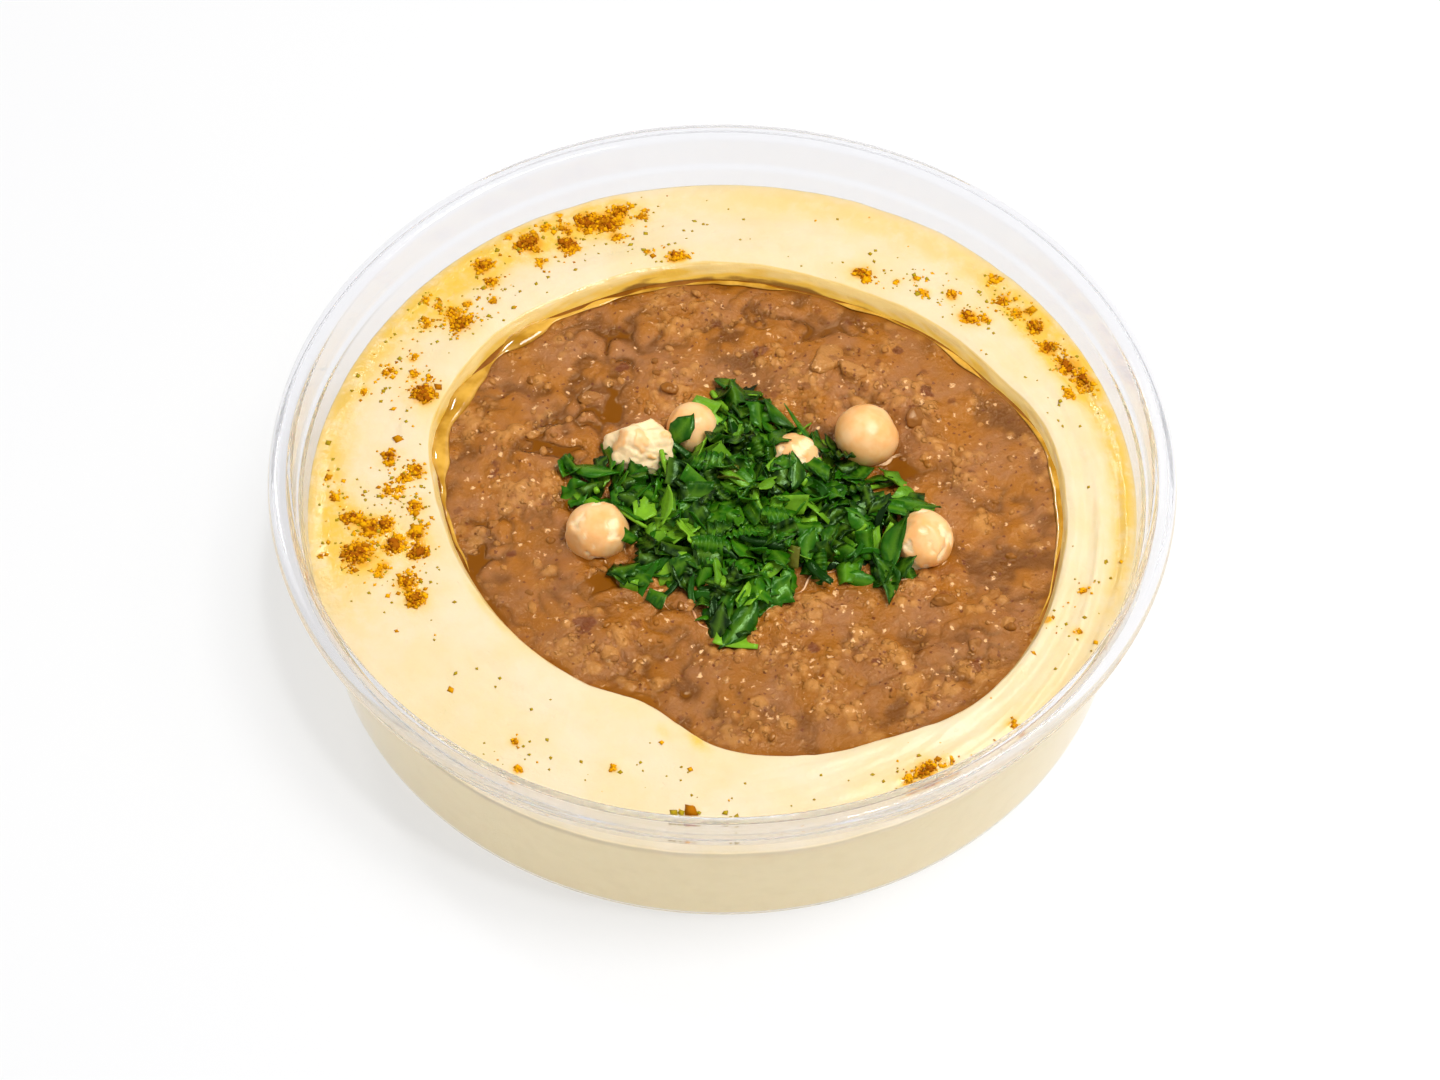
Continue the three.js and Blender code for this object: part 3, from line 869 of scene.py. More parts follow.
@dataclass(frozen=True)
class ChickpeaFinish(Finish):
    """Cooked chickpea skin, with painted shade that turns it golden below, and pale flesh where it is broken.
    """

    skin: Colour = (236, 173, 101)
    golden: Colour = (222, 148, 52)
    flesh: Colour = (250, 218, 168)
    flesh_roughness: float = 0.55
    patch: float = 4.0
    ripple: float = 0.9
    depth: float = 0.12

    def dress(self, paint: Paint) -> None:
        """Turns the skin golden below as painted shade, and pale where it is broken.

        Args:
            paint: The material.
        """
        skin = paint.mix(paint.times(paint.mottle(self.patch), 0.45), self.skin, self.flesh)
        # Painted shade: the lower part of each pea, towards the mash, turns golden.
        skin = paint.mix(paint.value("low"), skin, self.golden)
        broken = paint.value("flesh")
        paint.put("Base Color", paint.mix(broken, skin, self.flesh))
        paint.put("Roughness", paint.span(broken, 0.0, 1.0, self.roughness, self.flesh_roughness))
        strength = paint.span(broken, 0.0, 1.0, 0.3, 1.0)
        paint.emboss(paint.times(paint.relief(self.ripple), strength), self.depth)


@dataclass(frozen=True)
class LeafFinish(Finish):
    """Chopped parsley leaf, wet, with paler veins and a few dry edges."""

    # dark is also the painted shade of the core between the leaves.
    dark: Colour = (4, 26, 2)
    middle: Colour = (36, 96, 4)
    light: Colour = (124, 174, 38)
    dry: Colour = (112, 92, 34)
    patch: float = 1.4
    ripple: float = 0.7
    depth: float = 0.07

    def dress(self, paint: Paint) -> None:
        """Tints each leaf, with its patches and veins.

        Args:
            paint: The material.
        """
        tint, vein = paint.value("tint"), paint.value("vein")
        leaf = paint.mix(paint.span(tint, 0.0, 0.7), self.dark, self.middle)
        leaf = paint.mix(paint.span(tint, 0.72, 1.0), leaf, self.light)
        patches = paint.mottle(self.patch)
        leaf = paint.mix(paint.times(patches, 0.2), leaf, self.dark)
        leaf = paint.mix(paint.times(vein, 0.28), leaf, self.light)
        paint.put("Base Color", paint.mix(paint.value("dry"), leaf, self.dry))
        paint.put("Roughness", paint.span(patches, 0.0, 1.0, self.roughness, 0.3))
        paint.emboss(paint.math("ADD", paint.relief(self.ripple), paint.times(vein, 0.6)), self.depth)


@dataclass(frozen=True)
class SpiceFinish(Finish):
    """Ground spice: orange grains, with brown and olive ones among them."""

    orange: Colour = (240, 174, 4)
    brown: Colour = (160, 86, 0)
    olive: Colour = (172, 150, 26)
    patch: float = 0.5
    ripple: float = 0.15
    depth: float = 0.03

    def dress(self, paint: Paint) -> None:
        """Tints each grain.

        Args:
            paint: The material.
        """
        tint = paint.value("tint")
        grain = paint.mix(paint.span(tint, 0.2, 0.7), self.orange, self.brown)
        grain = paint.mix(paint.span(tint, 0.8, 0.95), grain, self.olive)
        paint.put("Base Color", paint.mix(paint.times(paint.mottle(self.patch), 0.3), grain, self.brown))
        paint.emboss(paint.relief(self.ripple), self.depth)


@dataclass(frozen=True)
class OilFinish(Finish):
    """A bead of golden oil, thick enough to have a colour of its own."""

    deep: Colour = (168, 116, 16)
    bright: Colour = (216, 164, 62)
    ripple: float = 3.0

    def dress(self, paint: Paint) -> None:
        """Varies the oil's colour softly along the bead."""
        paint.put("Base Color", paint.mix(paint.mottle(self.patch), self.deep, self.bright))
        paint.emboss(paint.relief(self.ripple), self.depth)


@dataclass(frozen=True)
class FloorFinish(Finish):
    """A plain white table, lit from inside so that shadows on it stay pale."""

    white: Colour = (148, 148, 148)
    shade: Colour = (146, 146, 147)
    glow: float = 0.58
    patch: float = 300.0

    def dress(self, paint: Paint) -> None:
        """Varies the white slightly, and lets it glow.

        Args:
            paint: The material.
        """
        paint.put("Base Color", paint.mix(paint.mottle(self.patch), self.white, self.shade))
        paint.put("Emission Color", (1.0, 1.0, 1.0, 1.0))
        paint.put("Emission Strength", self.glow)


# ---- Tub ----


@dataclass
class Tub:
    """The clear round tub with its stepped neck and rolled rim."""

    finish: ClearPlastic
    height: float = 35.0
    floor: float = 1.0
    wall: float = 0.8
    foot_corner: float = 2.8
    base_radius: float = 63.7
    wall_top: float = 27.6
    wall_top_radius: float = 66.8
    ledge: float = 0.8
    neck_radius: float = 68.0
    rim_inner: float = 67.1
    rim_crest: float = 1.2
    skirt_radius: float = 71.0
    skirt_drop: float = 2.4
    sides: int = 360

    def wall_inside(self, z: Array | float) -> Array | float:
        """Inside radius of the tapered wall at a height."""
        share = (z - self.foot_corner) / (self.wall_top - self.foot_corner)
        return self.base_radius - self.wall + share * (self.wall_top_radius - self.base_radius)

    def profile(self) -> Array:
        """The tub's section.

        Returns:
            Rows of radius and height, from the middle of the inside round the rim to the foot.
        """
        step_inside = self.wall_top_radius + self.ledge - self.wall
        skirt_bottom = self.height - self.skirt_drop
        crest = self.skirt_radius - 1.1
        inside = [
            (0.01, self.floor, 0),
            (self.wall_inside(self.foot_corner) - 0.2, self.floor, 2.0),
            (self.wall_top_radius - self.wall, self.wall_top + 0.4, 0.25),
            (step_inside, self.wall_top + self.ledge + 0.4, 0.4),
            (self.rim_inner, self.height - 0.8, 0.3),
            (self.rim_inner + 0.4, self.height - 0.2, 0.3),
            (crest - self.rim_crest, self.height, 0.4),
        ]
        outside = [
            (crest, self.height, 0.5),
            (self.skirt_radius - 0.45, self.height - 0.6, 0.3),
            (self.skirt_radius, skirt_bottom, 0.15),
            (self.skirt_radius - self.wall, skirt_bottom + 0.05, 0.2),
            (self.neck_radius + 1.3, self.height - self.wall, 0.45),
            (self.neck_radius, self.height - self.wall - 0.45, 0.5),
            (self.wall_top_radius + self.ledge, self.wall_top + self.ledge, 0.4),
            (self.wall_top_radius, self.wall_top, 0.3),
            (self.base_radius - 0.1, 0, self.foot_corner),
            (0.01, 0, 0),
        ]
        return rounded(inside + outside)

    def build(self) -> None:
        """Makes the tub and lets it stand for its solid."""
        profile = self.profile()
        columns = np.broadcast_to(profile, (self.sides, *profile.shape))
        shape = turned(columns, self.floor, 0.0)
        settle(shape.to_object("tub_clear", self.finish.make()), "clear_plastic", "tub")


# ---- Hummus ----


@dataclass
class WellEdge:
    """The well's lip at each angle, where the mash meets the wall, and how far back the angle is."""

    lip_radius: Array
    radius: Array
    height: Array
    inset: Array
    far: Array


@dataclass
class Stain:
    """Golden oil on the band: bearing and spread in degrees, strength, and place and width across."""

    bearing: float
    spread: float
    strength: float
    share: float = 0.86
    width: float = 0.2


@dataclass
class HummusBed:
    """The hummus: a flat band round a spooned well, with spoon marks and oil stains."""

    finish: HummusFinish
    tub: Tub
    level: float = 23.9
    tilt: float = 1.5 / 66
    lip_height: float = 0.45
    ridge: float = 0.4
    groove: float = 0.55
    drag: float = 0.18
    shoulder: float = 0.5
    streak: float = 0.13
    fine_ridge: float = 0.13
    softness: float = 0.2
    well_radii: tuple[float, ...] = (
        54.7, 53.9, 51.0, 49.9, 48.4, 47.9, 48.3, 48.6, 48.8, 49.8, 49.4, 48.8,
        45.7, 43.6, 42.4, 41.9, 41.6, 41.4, 47.4, 50.4, 52.4, 55.3, 55.7, 55.1,
    )
    well_floor: float = 15.0
    floor_inset: float = 14.0
    near_inset: float = 0.8
    far_inset: float = 2.8
    near_drop: float = 1.1
    far_drop: float = 2.3
    into_wall: float = 0.25
    sides: int = 720
    band_rings: int = 62
    slope_rings: int = 14
    smear_seed: int = 5
    edge_seed: int = 9
    film_seed: int = 13
    stains: tuple[Stain, ...] = each(
        Stain,
        (22, 26, 1), (33, 10, 0.9, 0.72, 0.16), (-8, 16, 0.6),
        (70, 22, 0.5, 0.85), (118, 16, 1, 0.78, 0.18), (138, 14, 0.9, 0.8, 0.26),
        (162, 20, 0.8, 0.92), (188, 16, 0.85, 0.84, 0.26), (318, 14, 0.3, 0.7, 0.3),
        (300, 10, 0.2, 0.55, 0.2), (266, 2.2, 1, 0.03, 0.07), (259, 1.6, 0.5, 0.12, 0.05),
        (212, 12, 0.5, 0.01, 0.03),
    )

    def band_height(self, angle: Array, share: Array, radius: Array) -> Array:
        """Height of the band's main form.

        Args:
            angle: Angles in radians.
            share: Share of the way from the well, 0, to the wall, 1.
            radius: Distances from the tub's axis.

        Returns:
            The heights.
        """
        level = self.level + self.tilt * radius * np.sin(angle)
        lip = self.lip_height * bump(share - 0.14, 0.16)
        ridges = self.ridge * towards(angle, RIGHT, 1.0) * np.cos(TURN * (share * 2.2 - 0.1))
        groove = -self.groove * towards(angle, FAR, 0.9) * bump(share - 0.66, 0.2)
        drag = self.drag * np.sin(5 * angle + 3 * share)
        shoulder = -self.shoulder * np.maximum(0, (share - 0.85) / 0.15) ** 2
        return level + lip + ridges + groove + drag + shoulder

    def edge_at(self, angle: Array) -> WellEdge:
        """The well's edge.

        Args:
            angle: Angles in radians.

        Returns:
            The edge at those angles.
        """
        lip_radius = outline_radius(self.well_radii, angle)
        lip = self.band_height(angle, np.zeros_like(angle), lip_radius)
        far = ((1 + np.sin(angle)) / 2) ** 2
        inset = self.near_inset + far * (self.far_inset - self.near_inset)
        drop = self.near_drop + far * (self.far_drop - self.near_drop)
        return WellEdge(lip_radius, lip_radius - inset, lip - drop, inset, far)

    def outer(self) -> float:
        """Radius to which the band's shares run, as in the frame."""
        return self.tub.wall_inside(self.level) - GAP

    def surface_at(self, x: Array, y: Array) -> tuple[Array, Array]:
        """The finished band.

        Args:
            x: Places across.
            y: Places away.

        Returns:
            Height at each place, and its share of the way from the well to the wall.
        """
        angle, radius = np.arctan2(y, x), np.hypot(x, y)
        lip = outline_radius(self.well_radii, angle)
        share = (radius - lip) / (self.outer() - lip)
        return self.band_height(angle, share, radius) + self.smears(angle, radius, share), share

    def smears(self, angle: Array, radius: Array, share: Array) -> Array:
        """Fine marks of the spoon, drawn out along the band.

        Args:
            angle: Angles in radians.
            radius: Distances from the tub's axis.
            share: Share of the way from the well to the wall.

        Returns:
            How far the marks raise the band.
        """
        noise = Noise(self.smear_seed)
        along = angle * 58
        x, y = radius * np.cos(angle), radius * np.sin(angle)
        streaks = noise.over(along / 7, radius + 0.04 * along, 1.5, 2)
        fine_ridges = np.sin(TURN * (radius + 2.0 * np.sin(angle * 2)) / 2.1)
        right = towards(angle, -0.35, 0.55) * bump(share - 0.62, 0.25)
        soft = noise.over(x, y, 9.0, 2)
        drawn = self.streak * streaks * (0.35 + towards(angle, -0.6, 1.3))
        return drawn + self.fine_ridge * fine_ridges * right + self.softness * soft

    def build(self, spice: "GroundSpice") -> None:
        """Makes the hummus and lets it stand for its solid.

        Args:
            spice: The spice on it, which stains it.
        """
        angle = (np.arange(self.sides) / self.sides * TURN)[:, None]
        edge = self.edge_at(angle)
        noise = Noise(self.edge_seed)
        share = np.linspace(0, 1, self.band_rings)[None, :]
        outside = self.outer()
        radius = edge.lip_radius + share * (outside - edge.lip_radius)
        lip_x, lip_y = edge.lip_radius * np.cos(angle), edge.lip_radius * np.sin(angle)
        radius = radius + 0.2 * noise.over(lip_x, lip_y, 5.0, 2) * (1 - ease(share, 0.0, 0.25))
        angles, shares, _ = np.broadcast_arrays(angle, share, radius)
        height = self.band_height(angle, share, radius) + self.smears(angles, radius, shares)
        into = ease(share, 0.9, 1.0) * (GAP + self.into_wall)
        band = np.stack([radius + into, height], axis=-1)
        columns = [self._slope(edge, band[:, 0], noise, angle), band, self._outside(band[:, -1])]
        shape = turned(np.concatenate(columns, axis=1), self.well_floor, self.tub.floor - self.into_wall)
        shape.values = self._values(shape, edge, columns[0].shape[1], spice)
        piece = shape.to_object("hummus_paste", self.finish.make())
        settle(piece, "hummus", "hummus")

    def _slope(self, edge: WellEdge, lip: Array, noise: Noise, angle: Array) -> Array:
        """The well's wall.

        Args:
            edge: The well's edge.
            lip: Radius and height of the lip at each angle.
            noise: Source of the wall's roughness.
            angle: The angles, as one column.

        Returns:
            Columns of radius and height, from the floor's edge up to just under the lip.
        """
        depth = edge.height - self.well_floor
        below = [(1.0, 1.0), (0.6, 0.95), (0.36, 0.82), (0.12, 0.4)]
        rows = [[edge.radius - back * self.floor_inset, edge.height - down * depth] for back, down in below]
        for share in np.linspace(1, 0, self.slope_rings, endpoint=False):
            down = 0.35 * share**1.5 + 0.65 * share * share * (3 - 2 * share)
            radius = lip[:, :1] - share * (lip[:, :1] - edge.radius)
            height = lip[:, 1:] - down * (lip[:, 1:] - edge.height)
            rough = noise.over(angle * 50 / 3, np.full_like(angle, share * 4), 1.2, 2)
            rows.append([radius, height + 0.12 * rough * math.sin(math.pi * share)])
        return np.stack([np.concatenate(row, axis=1) for row in rows], axis=1)

    def _outside(self, last: Array) -> Array:
        """The side against the tub's wall, and the underside.

        Args:
            last: Radius and height of the band's outer edge at each angle.

        Returns:
            Columns of radius and height, from below that edge to the underside.
        """
        wall = self.tub.base_radius - self.tub.wall + self.into_wall
        heights = np.linspace(1, 0, 12)[1:-1]
        rows = []
        for share in heights:
            z = self.tub.foot_corner + share * (last[:, 1] - self.tub.foot_corner)
            rows.append(np.stack([self.tub.wall_inside(z) + self.into_wall, z], axis=1))
        low = self.tub.floor - self.into_wall
        corner = self.tub.foot_corner - low
        for tilt in np.linspace(0, math.pi / 2, 6):
            radius = wall - corner * (1 - math.cos(tilt))
            height = self.tub.foot_corner - corner * math.sin(tilt)
            rows.append(np.tile([radius, height], (len(last), 1)))
        return np.stack(rows, axis=1)

    def _values(self, shape: Shape, edge: WellEdge, slope: int, spice: "GroundSpice") -> dict[str, Array]:
        """The values that the finish reads.

        Args:
            shape: The hummus.
            edge: The well's edge.
            slope: How many rings the well's wall has.
            spice: The spice on the hummus.

        Returns:
            From 0 to about 1 at each point: oil stain, film in the well with a thin line of painted shade
                under the far lip, powder, and the outer side, which the finish paints lighter as painted
                light.
        """
        x, y = shape.points[:, 0], shape.points[:, 1]
        angle, radius = np.arctan2(y, x), np.hypot(x, y)
        lip = outline_radius(self.well_radii, angle)
        share = (radius - lip) / (self.outer() - lip)
        stain = sum(
            mark.strength * towards(angle, math.radians(mark.bearing), math.radians(mark.spread))
            * bump(share - mark.share, mark.width)
            for mark in self.stains
        )
        stain = np.clip(stain + spice.near(x, y, spice.stain_reach, 0.9), 0, 1) * (share > -0.02)
        noise = Noise(self.film_seed)
        far_side = ease(np.sin(angle), -0.35, 0.35)
        down = np.clip(-(radius - lip) / (edge.inset.mean() + 1.6 * far_side), 0, 1)
        film = np.clip(down * (0.72 + 0.5 * far_side), 0, 1.1) * ease(down, 0.02, 0.3)
        streaks = noise.over(angle * 5, radius, 0.8, 2)
        # Painted shade: a thin darker line just under the lip, on the far side.
        film = film + 0.4 * far_side * bump(down - 0.13, 0.05)
        film = film + (0.12 * noise.over(x, y, 4.0) + 1.1 * streaks * down * (1 - down)) * (down > 0)
        top = np.arange(len(x)) < (slope + self.band_rings) * self.sides
        powder = spice.near(x, y, spice.powder_reach) * top
        film = np.clip(film, 0, 1.2) * top
        return {"stain": stain * top, "film": film, "powder": powder, "side": 1.0 - top}


# ---- Ground spice ----


@dataclass
class GroundSpice:
    """Ground spice on the hummus, as specks and in clumps: x, y, length along and width across."""

    finish: SpiceFinish
    clumps: tuple[tuple[float, ...], ...] = (
        (22.5, 46, 3, 2.4), (33, 42, 1.4, 1.3), (28.5, 44.5, 0.8, 0.8), (31.5, 45, 0.7, 0.7),
        (37.5, 41.5, 1.8, 1.6), (40, 37, 3.6, 2.2), (43, 36.5, 1.8, 1), (44.5, 45, 1.9, 1.2),
        (46, 41, 2.2, 1.5), (48, 38.5, 1.8, 1.5), (50, 38.5, 1.4, 1.2), (51, 35.5, 3, 2.2),
        (53, 31, 3, 2.5), (56, 27, 4.6, 2.6), (58.5, 24, 4, 2.2), (56, 21, 2.2, 1.4),
        (-32.5, 52, 5.4, 3), (-26, 52, 3.8, 3.2), (-23, 57, 4.2, 3.2), (-19.5, 57, 4.2, 4),
        (-17.5, 59.5, 3, 2.4), (-18, 54, 1.8, 1.6), (-26.5, 55.5, 2, 1.2), (-28, 58.5, 0.9, 0.9),
        (-30, 55.5, 1.7, 1.2), (-36, 53.5, 1.4, 1), (-30.5, 48, 1.6, 1.2), (-40, 47, 4.2, 2),
        (-38.5, 43.5, 2.4, 1.6), (-38, 39.5, 1.2, 1), (-43, 34.5, 3.9, 3.4), (-44.5, 37, 2.3, 1.8),
        (-47, 38.5, 1.6, 1.4), (-49, 39.5, 1.4, 1.2), (-48.5, 34.5, 1.6, 1.3), (-42, 39, 1.4, 0.9),
        (-54, 24.5, 2, 1.5), (-58, 20.5, 1, 1), (-50.5, 27, 1.6, 1), (-50, 23.5, 1.8, 1),
        (-48.5, 19.5, 4.8, 3.6), (-8.5, 49, 2.4, 2.2), (-7, 49, 1.4, 1.2), (-13.5, 58.5, 1.7, 1.2),
        (-57, -12, 4.8, 4.6), (-55.5, -6.5, 4, 2.2), (-58.5, -5, 2.2, 3), (-53, -6, 2.9, 2.6),
        (-51.5, -10, 3.2, 3), (-48, -8, 3.2, 2), (-47.5, -11.5, 3.2, 3.2), (-53.5, -15.5, 1.6, 1.4),
        (-53, 7, 3, 2), (-48.5, 4, 2.6, 2), (-53, 0.5, 2.2, 1.2), (-51, 0, 2, 1.2),
        (-48.5, -3, 2.6, 1.8), (-62.5, 3, 1.1, 1), (-61.5, -1, 1.5, 1.4), (-49, -17, 2.9, 2.8),
        (-47.5, -20.5, 3.4, 3), (-52.5, -14, 1.8, 0.9), (-62.5, -12, 1, 0.9), (-50.5, 3, 2.2, 1.5),
        (31, -51, 4.2, 1.8), (-31, -46.5, 1.2, 1), (-30.5, -51.5, 1.3, 1), (-16, -51, 1, 0.8),
        (-4, -58.5, 1.2, 0.8), (56.5, -17.5, 1.2, 1), (50.5, -23.5, 1.6, 1), (55, -25.5, 1.2, 1),
        (44.5, -42.5, 1.6, 1), (28, -53, 1.4, 1), (34, -49.5, 1.6, 0.9), (-12.5, 50, 0.8, 0.8),
    )
    stain_reach: float = 0.42
    powder_reach: float = 0.26
    grain: float = 0.29
    grains_per_area: float = 13.0
    specks: int = 640
    seed: int = 17

    def near(self, x: Array, y: Array, reach: float, strength: float = 1.0) -> Array:
        """How near places are to the clumps: 0 far off, and the strength at their middles."""
        total = sum(strength * bump(np.hypot(x - u, y - v), reach * (a + b)) for u, v, a, b in self.clumps)
        return np.clip(total, 0, 1)

    def _scatter(self, rng: Rng) -> tuple[Array, Array]:
        """Scatters the clumps' grains.

        Args:
            rng: Source of the places.

        Returns:
            Rows of x and y, and how near each grain is to the middle of its clump.
        """
        places, cores = [], []
        for x, y, along, across in self.clumps:
            bearing = math.atan2(y, x) + math.pi / 2
            count = 4 + int(along * across * self.grains_per_area)
            size = np.array([along, across])
            blobs = rng.normal(size=(1 + int(1.1 * along * across), 2)) * 0.24 * size
            spread = rng.normal(size=(count, 2)) * np.clip(0.1 * (along + across), 0.2, 0.4)
            stray = rng.random(count) < 0.15
            spread[stray] *= rng.uniform(1.6, 4.0, (stray.sum(), 1))
            offset = blobs[rng.integers(0, len(blobs), count)] + spread
            core = np.exp(-np.sum((offset / size * 2.6) ** 2, axis=1)) * min(1.0, along * across / 9)
            cos, sin = math.cos(bearing), math.sin(bearing)
            turn = np.array([[cos, -sin], [sin, cos]])
            places.append(offset @ turn.T + [x, y])
            cores.append(np.maximum(core, 0.06))
        return np.concatenate(places), np.concatenate(cores)

    def _dust(self, rng: Rng) -> Array:
        """Scatters loose specks, most of them near the clumps.

        Args:
            rng: Source of the places.

        Returns:
            Rows of x and y.
        """
        middles = np.array(self.clumps)[rng.integers(0, len(self.clumps), self.specks), :2]
        near = middles + rng.normal(size=(self.specks, 2)) * 3.4
        angle = rng.uniform(0, TURN, self.specks // 4)
        radius = rng.uniform(46, 64, len(angle))
        return np.concatenate([near, np.stack([radius * np.cos(angle), radius * np.sin(angle)], axis=1)])

    def build(self, bed: HummusBed) -> None:
        """Makes every grain as a small uneven octahedron.

        Args:
            bed: The hummus that the grains lie on.
        """
        rng = np.random.default_rng(self.seed)
        clumped, cores = self._scatter(rng)
        dust = self._dust(rng)
        places = np.concatenate([clumped, dust])
        cores = np.concatenate([cores, np.zeros(len(dust))])
        height, share = bed.surface_at(places[:, 0], places[:, 1])
        keep = (share > 0.03) & (share < 0.97)
        places, cores, height = places[keep], cores[keep], height[keep]
        size = self.grain * rng.lognormal(0, 0.35, len(places)) * (0.92 + 0.3 * cores)
        lift = height + cores * rng.uniform(-0.1, 0.5, len(places))
        corners = np.array([(1, 0, 0), (0, 1, 0), (-1, 0, 0), (0, -1, 0), (0, 0, 1), (0, 0, -1)], float)
        jitter = rng.uniform(0.6, 1.4, (len(places), 6, 1))
        angle = rng.uniform(0, TURN, len(places))
        cos, sin = np.cos(angle), np.sin(angle)
        turns = np.stack([np.stack([cos, -sin], axis=1), np.stack([sin, cos], axis=1)], axis=1)
        grains = corners[None] * jitter * size[:, None, None]
        grains[..., :2] = np.einsum("nij,nkj->nki", turns, grains[..., :2])
        grains[..., 2] *= 0.75
        grains += np.concatenate([places, lift[:, None]], axis=1)[:, None]
        faces = np.array(ring_faces(1, 4, 4, 5))
        all_faces = (np.arange(len(places))[:, None, None] * 6 + faces[None]).reshape(-1, 3)
        tint = np.clip(rng.random(len(places)) * 0.55 + 0.45 * cores, 0, 0.79)
        olive = (cores < 0.05) & (rng.random(len(places)) < 0.7)
        tint = np.where(olive, 1.0, tint)
        shape = Shape(grains.reshape(-1, 3), all_faces.tolist(), {"tint": np.repeat(tint, 6)})
        settle(shape.to_object("spice_grains", self.finish.make()), "spice")


# ---- Ful ----


@dataclass(frozen=True)
class Mound:
    """A larger form in the mash, or a pool on it: place, radius and height."""

    x: float
    y: float
    radius: float
    height: float

    def rise(self, x: Array, y: Array) -> Array:
        """How far the form rises at a place."""
        return self.height * bump(np.hypot(x - self.x, y - self.y), self.radius)


@dataclass
class Crease:
    """A fold in the mash: it runs between two places, and the side to its right is raised."""

    start: Span
    end: Span
    rise: float = 0.5
    fade: float = 4.0
    sway: float = 0.7
    winding: float = 0.9

    def run(self) -> Point:
        """x and y of the fold's direction, and its length."""
        along = np.subtract(self.end, self.start)
        return (*(along / np.hypot(*along)), float(np.hypot(*along)))

    def height(self, x: Array, y: Array) -> Array:
        """How far the fold raises the mash.

        Args:
            x: Places across.
            y: Places away.

        Returns:
            Heights above the mash without it.
        """
        ux, uy, length = self.run()
        u = (x - self.start[0]) * ux + (y - self.start[1]) * uy
        side = (x - self.start[0]) * uy - (y - self.start[1]) * ux
        side = side + self.sway * np.sin(u * self.winding)
        ends = ease(u, -2.5, 1.5) * (1 - ease(u, length - 1.5, length + 2.5))
        return self.rise * ends * ease(side, -0.25, 0.45) * np.exp(-np.maximum(side, 0) / self.fade)

    def line(self) -> tuple[Array, Array]:
        """The fold's edge.

        Returns:
            x and y of points along it.
        """
        ux, uy, length = self.run()
        u = np.linspace(0, length, int(length * 3))
        side = 0.1 - self.sway * np.sin(u * self.winding)
        return self.start[0] + u * ux + side * uy, self.start[1] + u * uy - side * ux


